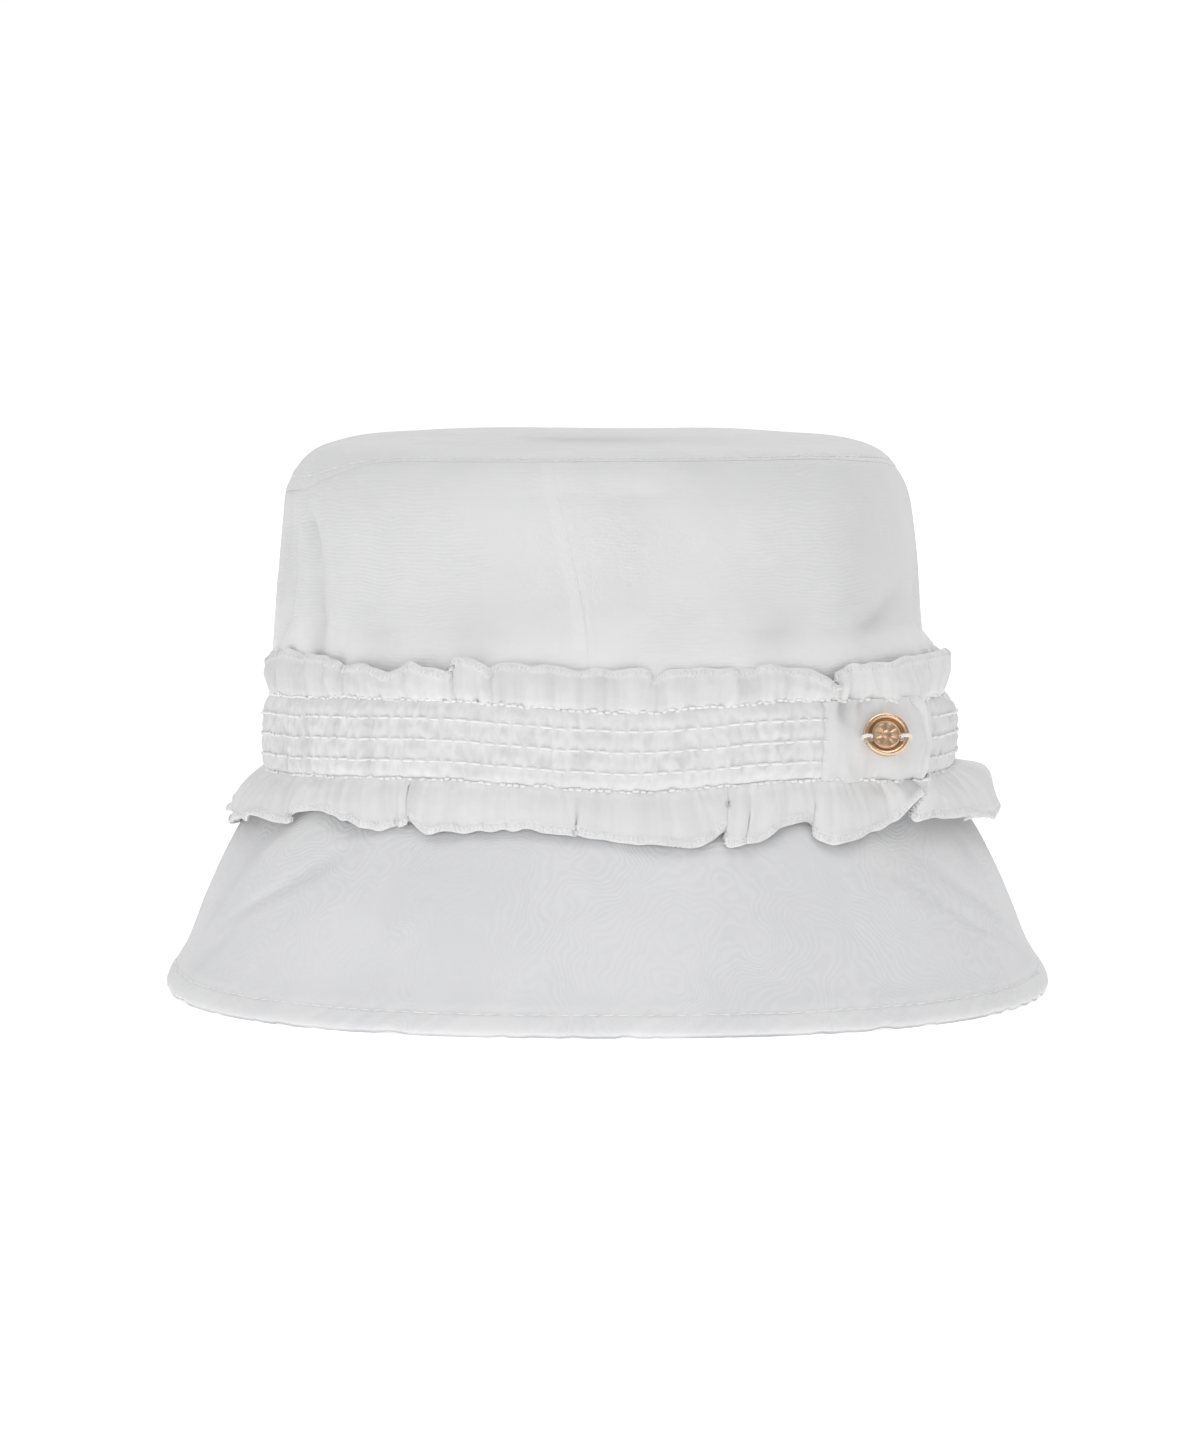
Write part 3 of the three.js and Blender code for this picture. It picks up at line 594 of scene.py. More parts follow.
def tip_surface(angle, out):
    """The top of the crown; out is the share of the way from its middle to its seam."""
    seam = tip_seam(angle)
    outward = read(CROWN_PROFILE, "outward", seam)
    shift = TIP_SHIFT + (read(CROWN_PROFILE, "shift", seam) - TIP_SHIFT) * out
    height = TIP_MIDDLE - (TIP_MIDDLE - seam - 0.1) * out**TIP_ROUNDNESS
    plain = ring(angle, outward * out, height, shift)
    inside = (1 - out) * outward
    sag = 0.5 * ripple(plain, 26, 1, 5) * smooth(0, 12, inside)
    puckers = 0.22 * ripple(plain, 3.2, 1, 6) * bell(inside, TIP_STITCH, 2.2)
    groove = -0.14 * bell(inside, TIP_STITCH, 0.7) - 0.1 * np.exp(-inside / 0.5)
    return ring(angle, outward * out, height + sag + puckers + groove, shift)


def crown_tip():
    """The whole panel."""
    columns, rows = 250, 50
    out = TIP_HOLE + (1 - TIP_HOLE) * (1 - np.linspace(0, 1, rows)[:, None] ** 2.1)
    points = tip_surface(all_round(columns)[None, :], out)
    return cloth("crown_tip_cloth", points, CROWN_THICK, True, layers=0.0)


dress(crown_tip(), CROWN_CLOTH, "white_voile", "crown_tip")

# %% [markdown]
# The brim is a bell. Its hem is folded up and stitched, so the bottom five millimetres are thicker and
# lighter, and the cloth above them is drawn into short slanting puckers by the stitching.

# %% The brim
BRIM_FOLDS = table(
    "angle height wide tall lean out",
    (-66, 27, 3, 11, 0.4, -1.3), (-51, 27, 2.2, 8, 1.2, -1.3), (-44, 34, 2.2, 6, 0.9, -1.2),
    (-62, 13, 2.6, 7, 0.8, -1.2), (-20, 24, 9, 12, 0, 0.9), (18, 26, 10, 12, 0, -0.8),
    (44, 31, 1.2, 5, -1.1, -0.6), (49, 25, 1.1, 4, -1.4, -0.6), (55, 29, 2.6, 7, -0.9, -0.9),
    (56, 19, 1, 3.5, -1.6, -0.6), (63, 22, 1.6, 6, -1.1, -0.7), (66, 14, 1, 4, -1.2, -0.6),
    (88, 26, 6, 13, 0.3, -1.2), (122, 25, 5, 12, 0.6, -1.4), (146, 28, 6, 11, -0.4, -1.1),
    (-172, 24, 8, 12, 0.3, -1.2), (-138, 27, 5, 12, -0.6, -1.4), (-100, 25, 6, 12, 0.4, -1.2),
)
HEM = 5.2  # height of the hem's stitching
BRIM_THICK = 1.1
HEM_THICK = 1.7
RIM_WAVE = 1.1  # how far the stitching lifts the rim here and there, for a wave of 1
RIM_ROUND = 0.5  # radius of the rim's rounding
SHELTERED_PAINTED_LIGHT = (35, 42)  # heights between which the brim is painted lighter under the ruffle over it, against its shadow


def brim_surface(angle, height):
    """The outside of the brim."""
    outward = read(BRIM_PROFILE, "outward", height)
    calm = np.clip(np.minimum(height, BRIM_TOP - height) / CALM, 0, 1)
    plain = ring(angle, outward, height)
    soft = 0.4 * ripple(plain, 21, 1.3, 7) + 0.14 * ripple(plain, 8, 1, 8)
    slanted = ring(angle - 0.5 * (height - HEM), outward, height)
    puckers = 0.45 * ripple(slanted, 2.2, 3, 9) * bell(height, HEM, 3)
    groove = -0.16 * bell(height, HEM, 0.6)
    hem = 0.12 * smooth(HEM - 0.2, HEM - 0.9, height)
    relief = folds_at(BRIM_FOLDS, angle, height) * calm + soft * smooth(2, CALM, height)
    return ring(angle, outward + relief + puckers + groove + hem, height)


def brim():
    """The bell, with a rounded rim."""
    columns, rows = 460, 66
    angle = all_round(columns)[None, :]
    height = BRIM_TOP * np.linspace(0, 1, rows)[:, None] ** 1.35
    points = brim_surface(angle, height)
    rounding = RIM_ROUND * bell(height, 0, RIM_ROUND)
    points = points - facing(points, True) * rounding[..., None]
    points[0, :, 2] = 0
    wavy = np.clip(ripple(points[:1], 6, 1, 53), 0, 0.5)
    points[..., 2] += RIM_WAVE * wavy * np.exp(-height / 3)
    thick = BRIM_THICK + (HEM_THICK - BRIM_THICK) * smooth(HEM, HEM - 0.6, height) - 2 * rounding
    slanted = ring(angle - 0.7 * (height - HEM), BRIM_PROFILE["outward"][0], height)
    uneven = 0.6 + 0.5 * ripple(points, 26, 1, 10) + 0.5 * ripple(slanted, 2.6, 5, 9)
    above = 0.7 * bell(height, HEM + 1, 1.1)
    layers = 0.62 * (smooth(HEM + 0.2, HEM - 0.4, height) + above) * uneven
    # painted light under the lower ruffle, where its shadow falls
    layers = np.clip(layers + 0.15 * smooth(*SHELTERED_PAINTED_LIGHT, height), 0, 1)
    # painted shade along the hem's stitching and at the rim, in patches, and in the folds' hollows
    patchiness = 0.5 + 0.9 * ripple(points, 6, 1, 52)
    rim = smooth(0.9, 0.2, height) * (0.4 + 0.4 * np.clip(patchiness, 0, 1))
    shaded = 0.2 * bell(height, HEM, 0.35) * patchiness + rim + PAINTED_HOLLOW_SHADE * hollows(BRIM_FOLDS, angle, height)
    return cloth("brim_cloth", points, thick, True, layers=layers, shaded=np.clip(shaded, 0, 1))


dress(brim(), BRIM_CLOTH, "white_voile", "brim")

# %% [markdown]
# Shirring puckers the cloth between its rows of elastic. Pleats are pinched small at each row and open
# out between two rows, never quite the same in the next pair, and a few deeper folds run through them
# all. Ridged noise, stretched upright and sheared a little, gives all three.

# %% Where the band's rows lie
TOP_ROW = 4
BAND_MIDDLE = 64.6
GATHER_DEPTH = 1.7  # how far the foot row lies inside the puffed cloth
PUSHED_OUT = table("angle out", (36, 0), (40, 1), (44, 3), (48, 5), (51, 4.6), (57, 0))


def band_height(angle, row):
    """The height of a row of gathering, or of a place between two rows."""
    rise = band_line("rise", angle)
    tall = band_line("tall", angle)
    return BAND_MIDDLE + (read(BAND_ROWS, "height", row) - BAND_MIDDLE) * tall + rise


def gathered_out(angle, row):
    """How far the strip stands out at its top gather or at its foot gather."""
    if row == TOP_ROW:
        return band_line("neck", angle)
    return band_line("outward", angle) - GATHER_DEPTH


def pushed_out(angle):
    """How far the tab pushes the gathers out where the ruffles are sewn over it."""
    return np.interp(wrap(angle), PUSHED_OUT["angle"], PUSHED_OUT["out"])


print("band's head at the front", round(float(band_height(0, TOP_ROW)), 1), "mm up")

# %% The shirred band
BAND_START, BAND_END = 49, 392.5
BAND_THICK = 0.7
BAND_PALE = 0.44  # its even share of the lighter cloth colour
ELASTIC_DEPTH = 0.18  # how far the rows of elastic are drawn in
END_ROUND = 0.7  # radius of the rounding at its two ends
BAND_FOLDS = table(
    "angle height wide tall lean out",
    (-59, 62, 0.9, 12, 0.05, -1.1), (-51.5, 64, 1.1, 11, -0.03, -1.4), (-43, 71, 1.1, 5, 0.1, -1),
    (-36.6, 64, 1.1, 12, 0.04, -1.2), (-20, 60, 1.4, 6, 0.1, -0.8), (-3, 66, 1.6, 8, 0.1, -0.7),
)
PLAIN_END = 62  # up to this angle, past the tab, the strip hangs in smooth upright folds


def ridges(points, size, tall, seed):
    """Sharp crests and round hollows, from about -0.6 to 1."""
    return 1 - 3.2 * np.abs(ripple(points, size, tall, seed))


def band_surface(angle, row, pleated=1.0):
    """The outside of the shirred strip; pleated is the share of its narrow pleats that is there."""
    crest = band_line("outward", angle)
    height = band_height(angle, row)
    lean = 0.6 * ripple(ring(angle, crest, 10 * np.floor(row)), 16, 1, 17)
    plain = ring(angle + lean * (row - np.floor(row) - 0.5) * 3.2, crest, height)
    puff = np.sin(np.pi * row) ** 2
    from_end = np.clip(np.minimum(angle - BAND_START, BAND_END - angle), 0, None)
    stitched = smooth(PLAIN_END - 8, PLAIN_END + 4, angle)
    deep = 0.9 * ripple(plain, 6.5, 6, 11) + 0.45 * ripple(plain, 3.4, 5, 18)
    deep = deep * (0.55 + 0.45 * puff) + (1 - stitched) * 1.2 * ripple(plain, 5, 9, 19)
    open_pleats = 0.3 * ridges(plain, 2.4, 3.4, 12)
    pinched = 0.3 * ridges(plain, 1.3, 4, 13)
    narrow = open_pleats * (0.35 + 0.65 * puff) + pinched * (1 - 0.5 * puff)
    deep = deep + folds_at(BAND_FOLDS, angle, height)
    relief = (deep + narrow * pleated * stitched) * smooth(-0.6, 2, from_end)
    from_gather = np.minimum(row, TOP_ROW - row)
    gathered = np.where(row > TOP_ROW / 2, gathered_out(angle, TOP_ROW), gathered_out(angle, 0))
    sunk = ELASTIC_DEPTH * (1 - puff) * stitched * smooth(0, 0.6, from_gather)
    outward = crest - 0.5 + relief * smooth(-0.25, 0.5, from_gather) - sunk
    outward = outward + (gathered - outward) * np.exp(-from_gather * 3)
    wander = 0.3 * ripple(plain, 9, 6, 14)
    return ring(angle, outward - END_ROUND * bell(from_end, 0, END_ROUND), height + wander)


def shirred_band():
    """The strip, its end by the tab rounded in and puffed out between the rows."""
    columns, rows = 1050, 41
    angle = np.linspace(BAND_START, BAND_END, columns)[None, :]
    row = np.linspace(0, TOP_ROW, rows)[:, None]
    points = band_surface(angle + 0.5 * np.sin(np.pi * row) ** 2 * smooth(3, 0, BAND_END - angle), row)
    flat = ring(angle, 86, BAND_ROWS["height"][0] + 5 * row)
    streaks = 0.16 * (ridges(flat, 1.3, 3, 13) + ridges(flat, 2.4, 2.4, 12))
    at_gathers = 0.5 * np.exp(-4 * np.minimum(row, TOP_ROW - row))
    # painted light along the rows of elastic, where their grooves lie in shade
    painted_light_at_elastic = 0.25 * np.exp(-7 * np.abs(row - np.round(row)))
    layers = np.clip(BAND_PALE + streaks + at_gathers + painted_light_at_elastic, 0, 1)
    # painted shade in the hollows of the deep folds
    shaded = 3 * PAINTED_HOLLOW_SHADE * hollows(BAND_FOLDS, angle, band_height(angle, row))
    return cloth("shirred_band_cloth", points, BAND_THICK, False, layers=layers, shaded=shaded)


BAND = dress(shirred_band(), GATHERED_CLOTH, "gathered_voile", "shirred_band")

# %% [markdown]
# Between the strip's two ends a plain tab closes the band and carries the button. It is sewn in at its
# left edge and along its foot and head, and its right edge lies free over the strip.

# %% The plain tab
TAB_LINE = table(
    "angle outward",
    (31.6, 85.2), (33, 86), (34.6, 86.5), (36.6, 86.8), (40.6, 87.5), (44.4, 89.4), (48, 91.6),
    (50, 91.2), (51.5, 90.2),
)
TAB_FOOT, TAB_HEAD = 56.2, 75.8
TAB_THICK = 0.8
TAB_BULGE = 0.8
TAB_PALE = 0.34  # its even share of the lighter cloth colour
TAB_HEM = 2.2  # degrees, the turned edge on its free side
TAB_TUCK, TAB_SHADE = 1.8, 0.3  # depth and shade of the tuck at its top corner, under the upper ruffle


def tab_edge(up):
    """The angle of the tab's free edge, which bellies out."""
    return 47.8 + 3.3 * np.sin(np.pi * (0.14 + 0.78 * up)) + 0.25 * np.sin(17 * up)


def tab_surface(angle, up):
    """The outside of the tab; up is the share of its height."""
    outward = read(TAB_LINE, "outward", angle) + TAB_BULGE * np.sin(np.pi * up)
    height = TAB_FOOT + (TAB_HEAD - TAB_FOOT) * up
    plain = ring(angle, outward, height)
    from_row = np.minimum(up, 1 - up)
    soft = 0.9 * ripple(plain, 7, 1.8, 15) + 0.35 * ripple(plain, 3, 2.5, 20)
    drawn = 1.5 * ripple(plain, 2.6, 4, 16) * np.exp(-4.5 * from_row)
    from_edge = tab_edge(up) - angle
    hem = 0.3 * smooth(TAB_HEM, TAB_HEM - 0.8, from_edge) - 0.5 * bell(from_edge, TAB_HEM, 0.5)
    tuck = TAB_TUCK * bell(angle, 36, 1.8) * bell(up, 0.86, 0.14)
    sewn_down = 0.7 * np.exp(-9 * from_row) * (1 - 0.4 * smooth(46, 50, angle))
    return ring(angle, outward + soft + drawn + hem - tuck - sewn_down - bell(from_edge, 0, 0.4), height)


def tab():
    """The tab, from under the strip's end to its free edge."""
    columns, rows = 100, 60
    up = np.linspace(0, 1, rows)[:, None]
    share = np.linspace(0, 1, columns)[None, :]
    first = TAB_LINE["angle"][0]
    angle = first + share * (tab_edge(up) - first)
    # the turned hem is lighter; the tab's left part is painted lighter where the strip's end shades it, as
    # painted light
    layers = TAB_PALE + 0.3 * smooth(0.86, 0.92, share) + 0.22 * smooth(0.4, 0.05, share)
    # painted shade at the tuck under the upper ruffle
    shaded = TAB_SHADE * bell(angle, 36.6, 2.4) * bell(up, 0.93, 0.11)
    return cloth("band_tab_cloth", tab_surface(angle, up), TAB_THICK, False, layers=layers, shaded=shaded)


TAB = dress(tab(), GATHERED_CLOTH, "gathered_voile", "band_tab")

# %% [markdown]
# A ruffle is a strip of cloth whose root is gathered on the band's outer row and whose edge is free. A
# table gives each fold where its root is, how far the edge slides along beside it, and how far it goes
# out and up. Where the slide goes forward and then back, the edge turns under itself in a loop, as a
# gathered frill does. Narrow pleats start at the root and melt into the broad folds.

# %% The upper ruffle's folds
UPPER_FOLDS = table(
    "angle slide out up",
    (-84, 0, 0, 9.9), (-78, 0.8, -0.8, 10.4), (-73, -0.6, 0.6, 9.5), (-67, 0.6, -0.8, 10.3),
    (-62, 0, 0.8, 10.9), (-58, 0, 0.9, 11), (-55, 0.9, -0.9, 10.2), (-53, 0, -1.1, 9.3),
    (-51, -0.5, 0.9, 10.3), (-48.6, 0, 1.2, 10.1), (-47, 0.6, -0.6, 9.4), (-46, 0, -1.1, 8.7),
    (-45, -0.5, 0.9, 9.3), (-43.6, 0.5, 0.8, 8.7), (-42.4, 0, -1.2, 7.1), (-40.6, 0, 0.6, 8),
    (-38, 0, 1.4, 8.2), (-35.6, 0, 2, 7.7), (-34.2, 0.2, 1.9, 6.9), (-33, 0.2, 1.9, 6.2),
    (-31.8, 0, 1.8, 6.9), (-30, 0, 1.7, 8), (-28.4, 0, 1.9, 8.6), (-27, 0.3, 2.3, 8),
    (-25.6, 0.6, 2.4, 7.7), (-24.2, 0.5, 2.2, 7.2), (-22.9, 0.1, 1.6, 6.8), (-22.3, -0.4, 1, 8.4),
    (-21.6, -0.6, 1, 10.3), (-19.8, 0.3, 1.6, 10.5), (-18.4, 0.6, 1.4, 9), (-17.4, 0.2, 0.4, 7.9),
    (-16.4, -0.3, -0.9, 8.8), (-15, 0, -0.6, 9.6), (-12.4, 0, 0.2, 10), (-10.4, 0, 0.5, 10.4),
    (-8.4, 0, -0.8, 10), (-6, 0, 0, 9.9), (-3.8, 0, -0.2, 9.5), (-1, 0, -1.2, 9.7), (1.6, 0, 0.1, 10.1),
    (3.6, 0.3, 0.7, 10.3), (5.2, 0.6, 0.4, 9.6), (6.3, 0.2, -1, 8.4), (8.2, -0.4, -1.1, 8.7),
    (9.4, -0.3, 0.6, 9.9), (12, 0, -0.2, 9.3), (14.4, 0, 0.3, 9), (17.4, 0.5, 0.5, 8.8),
    (19, 0.3, -1, 7.8), (21.4, 0, -1.1, 8), (22.8, -0.4, 0.4, 8.8), (24.8, 0, 1, 8.6),
    (27.2, 0.3, 1, 7.6), (29.6, 0.6, 1.4, 6.6), (31.6, 0.8, 1.7, 5.4), (33.2, 0.6, 1.7, 4.2),
    (34.2, -0.6, 1.1, 5.6), (35.6, -0.6, 0.4, 7.4), (38, 0, 0.6, 8.6), (42, 0, 0.8, 8.8),
    (46, 0, 0.8, 9.5), (50, 0.3, 0.4, 10), (53, 0.6, 1, 10.4), (55.5, 0.8, -0.2, 9.7),
    (57.5, -0.4, -0.9, 10.5), (60, 0, 0.8, 11.4), (62.5, 0.8, 0.4, 10.8), (64.5, -0.8, -0.9, 9.2),
    (67, 0, 0.8, 11), (70, 1, 1.2, 11.4), (72, 0.8, -0.9, 9.2), (74.6, -1, 0.8, 10.8),
    (78.4, 0.8, 1, 10.6), (81, 0.8, -0.4, 8.6), (83, -0.6, 0.2, 10),
)
DRAWN_IN = 0.8  # millimetres by which the folds left of the front lie closer to the crown
LEFT_OF_FRONT = ((-74, -68), (-24, -30))
CLOSEST = -1.2  # as far in as a fold may lie, from its root
drawn_in = DRAWN_IN * over(LEFT_OF_FRONT, UPPER_FOLDS["angle"])
UPPER_FOLDS["out"] = np.maximum(UPPER_FOLDS["out"] - drawn_in, CLOSEST)
print("upper folds", len(UPPER_FOLDS["angle"]))

# %% The lower ruffle's folds
LOWER_FOLDS = table(
    "angle slide out up",
    (-84, 0, 9.6, -12.8), (-79, 1, 8.6, -12), (-76.6, -0.6, 7.8, -12.5), (-73, -0.8, 8.8, -12.2),
    (-67, 0, 9.2, -11.2), (-61, 1.4, 10, -10.1), (-55, 2.6, 6.4, -11.2), (-52.4, -0.3, 6.4, -10.8),
    (-50, -1.4, 6.6, -9), (-46, -0.6, 6.2, -8.3), (-40, 0.8, 7.1, -10.6), (-35, 1.8, 6.2, -12.1),
    (-32, 2, 6.6, -10.6), (-30.6, 0.3, 5.8, -11.6), (-29.5, 0.6, 6, -10.6), (-28.6, -1.1, 6.6, -8.6),
    (-25.6, 0, 6.8, -12), (-22.6, 0.2, 6.8, -12), (-17, 0.3, 6.4, -11), (-12, 0.2, 6, -10),
    (-8, 1, 6.4, -10.8), (-5.2, 1, 6.4, -10.3), (-4, -0.5, 5.8, -10.4), (-2.4, -1.2, 6.3, -10.5),
    (2, 0.3, 6.4, -11.7), (6.5, 0.2, 6.7, -12.3), (10.6, 0.8, 6.8, -13), (14, 2, 6.7, -10.4),
    (16.2, 1.4, 7, -9), (17.8, -1.7, 6, -13.4), (20, -0.8, 6, -13.6), (21.2, -2.6, 6.4, -14.2),
    (23.2, -1.2, 6.7, -12.8), (25.6, -0.4, 6.5, -10.5), (27.6, 1, 6.4, -9.6), (29.2, 0.6, 6.3, -11.2),
    (30.2, -1, 6.3, -12.6), (31.6, -1.8, 6.5, -13.6), (34.2, -1.4, 6.7, -14.8), (38, 0.8, 6.8, -12.6),
    (42, 1.6, 7, -9.4), (45.6, 2.6, 7.2, -3.3), (48, -1.2, 4.6, -8.8), (51, -1.4, 5.8, -9.6),
    (57, 0, 6.8, -9.8), (62, 1.8, 10.2, -10.4), (64.6, -1.8, 6.8, -11.6), (69, 0, 8.6, -11.4),
    (75, 1.4, 10.8, -12.4), (80, 0, 11.6, -12),
)
HUG_GAP = 1.6  # millimetres from the brim to the middle of the lower ruffle's edge, at the front
HUGGED = ((-66, -52), (46, 38))  # degrees over which it lies against the brim
USUAL_OUT = 6.4  # how far the lower ruffle's edge goes out in most rows of its table


def hug_brim(folds):
    """Lays the lower ruffle's front against the brim, keeping most of its waves."""
    edge_height = band_height(folds["angle"], 0) + folds["up"]
    to_brim = read(BRIM_PROFILE, "outward", edge_height) - gathered_out(folds["angle"], 0)
    hugging = to_brim + HUG_GAP + 0.6 * (folds["out"] - USUAL_OUT)
    folds["out"] = folds["out"] + (hugging - folds["out"]) * over(HUGGED, folds["angle"])


hug_brim(LOWER_FOLDS)
print("lower folds", len(LOWER_FOLDS["angle"]))

# %% The hidden back's folds, and places between two folds
BACK_FOLDS = 44
BACK_SLIDES = (-1.2, 0.4, 2.2, -1.6)  # over the near, middle and far folds of a lobe, and the turn after it
EDGE_SAMPLES = 4000  # points that measure an edge's length
ROOT_OUT = 84  # about where the roots lie


def with_back(folds, first, last, out, up):
    """The table with the folds of the hidden back added, in a steady uneven rhythm. out and up hold two
    values each, for the turn after a lobe and for the lobe."""
    fold = np.arange(BACK_FOLDS)
    uneven = np.sin(fold * 2.4) * 0.5 + np.sin(fold * 5.1) * 0.3
    part = fold % len(BACK_SLIDES)
    turn = part == len(BACK_SLIDES) - 1
    back = {
        "angle": first + (last - first) * (fold + 0.3 * uneven) / (BACK_FOLDS - 1),
        "slide": np.array(BACK_SLIDES)[part] + 0.5 * uneven,
        "out": np.where(turn, *out) + 0.6 * uneven,
        "up": np.where(turn, *up) + 0.6 * uneven,
    }
    return {column: np.concatenate([folds[column], back[column]]) for column in folds}


def fold_values(folds, place):
    """Every column of a table of folds, on one smooth curve through the folds, round and round."""
    count = len(folds["angle"])
    whole = np.floor(place).astype(int)
    share = place - whole
    values = {}
    for name, column in folds.items():
        turn = 360 if name == "angle" else 0
        before, low, high, after = (
            column[(whole + step) % count] + turn * ((whole + step) // count) for step in (-1, 0, 1, 2)
        )
        values[name] = between(share, low, high, (high - before) / 2, (after - low) / 2)
    return values


def even_places(folds, columns):
    """Places in a table of folds that lie evenly along the free edge."""
    place = np.linspace(0, len(folds["angle"]), EDGE_SAMPLES)
    fold = fold_values(folds, place)
    edge = ring(fold["angle"] + fold["slide"], ROOT_OUT + fold["out"], fold["up"])
    walked = np.concatenate([[0], np.cumsum(np.linalg.norm(np.diff(edge, axis=0), axis=1))])
    return np.interp(np.arange(columns) * walked[-1] / columns, walked, place)


upper_folds = with_back(UPPER_FOLDS, 85, 272, [CLOSEST, 0.8], [9.8, 9])
lower_folds = with_back(LOWER_FOLDS, 84.5, 271, [USUAL_OUT, 10.2], [-12.8, -11])
UPPER_RUFFLE = dict(folds=upper_folds, row=TOP_ROW, direction=1, seed=21)
LOWER_RUFFLE = dict(folds=lower_folds, row=0, direction=-1, seed=31)
print("folds all round", len(upper_folds["angle"]), len(lower_folds["angle"]))

# %% The ruffles
BOW = 1.1  # how far the cloth curves out between its root and its edge
FULL_LOBE = 4  # and how much further in the fullest lobe
EDGE_TALL = 2.2  # width of the overlocked edge
RUFFLE_THICK = 0.5
EDGE_THICK = 1.0
UPPER_PALE, LOWER_PALE = 0.27, 0.58  # their even share of the lighter cloth colour
PAST_TAB_PAINTED_LIGHT = ((34, 38), (82, 72))  # degrees over which the upper ruffle is painted lighter, as painted light


def fullness(angle, direction):
    """How much further the cloth bows out in the full lobe of the lower ruffle past the button."""
    return FULL_LOBE * bell(wrap(angle), 87, 9) * (direction < 0)


def ruffle_surface(folds, row, direction, place, along, seed):
    """The middle of a ruffle's cloth; along is the share of the way from its root to its edge."""
    fold = fold_values(folds, place)
    angle = fold["angle"]
    length = np.hypot(fold["out"], fold["up"])
    root_out = gathered_out(angle, row)
    root = ring(angle, root_out, band_height(angle, row))
    pinched = ridges(root, 1.5, 1, seed)
    opening = ridges(root, 3.2, 1, seed + 3)
    pleats = ripple(root, 5, 1, seed + 1)
    frill = ripple(root, 4, 1, seed + 2)
    crumple = ripple(root + (0, 0, 9) * along[..., None], 3, 1, seed + 4)
    side = (BOW + fullness(angle, direction)) * np.sin(np.pi * along)
    sharp = 0.35 if direction > 0 else 0.2
    side = side + sharp * (pinched * (1 - along) ** 1.2 + opening * np.sin(np.pi * (0.15 + 0.7 * along)))
    side = side + (0.9 * pleats * (0.4 + 0.6 * along) + 0.4 * crumple) * smooth(-0.2, 0.4, along)
    outward = root_out + pushed_out(angle) * (1 - along) + fold["out"] * along
    outward = outward + side * np.abs(fold["up"]) / length
    rise = fold["up"] * along - side * direction * fold["out"] / length
    rise = rise + frill * along**3 * direction
    return ring(angle + fold["slide"] * along, outward, band_height(angle, row) + rise)


def ruffle(name, folds, row, direction, seed):
    """A ruffle with a thicker overlocked edge."""
    columns, rows = 1150, 19
    place = even_places(folds, columns)[None, :]
    along = np.linspace(0, 1, rows)[:, None]
    middle = ruffle_surface(folds, row, direction, place, along, seed)
    fold = fold_values(folds, place)
    from_edge = (1 - along) * np.hypot(fold["out"], fold["up"])
    in_edge = smooth(EDGE_TALL, EDGE_TALL - 0.5, from_edge)
    thick = RUFFLE_THICK + (EDGE_THICK - RUFFLE_THICK) * in_edge * smooth(0, 0.5, from_edge)
    root = ring(fold["angle"], ROOT_OUT, 0)
    pinched = ridges(root, 1.5, 1, seed) * (1 - 0.6 * along)
    streaks = 0.12 * (pinched + ridges(root, 3.2, 1, seed))
    # flared lobes are painted darker under their edge, as painted shade
    flared = smooth(2.2, 3.4, fold["out"]) * smooth(7.5, 5, np.abs(fold["up"])) * smooth(0, 0.2, along)
    if direction > 0:
        # painted light on the upper ruffle past the tab
        plain = UPPER_PALE + 0.3 * over(PAST_TAB_PAINTED_LIGHT, wrap(fold["angle"]))
        # painted shade in the valleys of its folds
        painted_valley_shade = 0.09 * smooth(0.4, CLOSEST, fold["out"])
    else:
        plain, painted_valley_shade = LOWER_PALE, 0
    plain = plain + 0.45 * smooth(0.25, 0, along)
    layers = np.clip(plain + streaks + 0.34 * in_edge - 0.6 * flared * (1 - in_edge), 0, 1)
    shaded = (painted_valley_shade + 0.3 * flared) * (1 - in_edge)
    if direction < 0:
        middle, thick, layers = middle[::-1], thick[::-1], layers[::-1]
    outer = middle + facing(middle, True) * (thick / 2)[..., None]
    piece = cloth(name, outer, thick, True, layers=layers, shaded=shaded)
    return dress(piece, GATHERED_CLOTH, "gathered_voile", name.replace("_cloth", ""))


UPPER = ruffle("upper_ruffle_cloth", **UPPER_RUFFLE)
LOWER = ruffle("lower_ruffle_cloth", **LOWER_RUFFLE)

# %% [markdown]
# Everything sewn on this hat is one small shape repeated along a line: a stitch along a row, or a loop
# of thread along an overlocked edge. Geometry Nodes are made for that. The line is a mesh of edges that
# carries the way out of the cloth at each point. The tree spaces points along it, puts one shape on
# each, turned outwards and along the line, and ends as a plain mesh.

# %% White sewing thread


def thread_finish():
    """Slightly glossy spun thread."""
    finish = Finish("white_thread", Specular_IOR_Level=0.3)
    strands = finish.clouds(2400)
    finish.feed("Base Color", finish.blend(strands, (0.92, 0.92, 0.915, 1), (0.98, 0.98, 0.975, 1)))
    finish.feed("Roughness", strands * 0.3 + 0.5)
    finish.bump(finish.clouds(3000), 0.0001)
    return finish.material


THREAD = thread_finish()
print("thread", THREAD.name)

# %% A tree that repeats a shape along a line


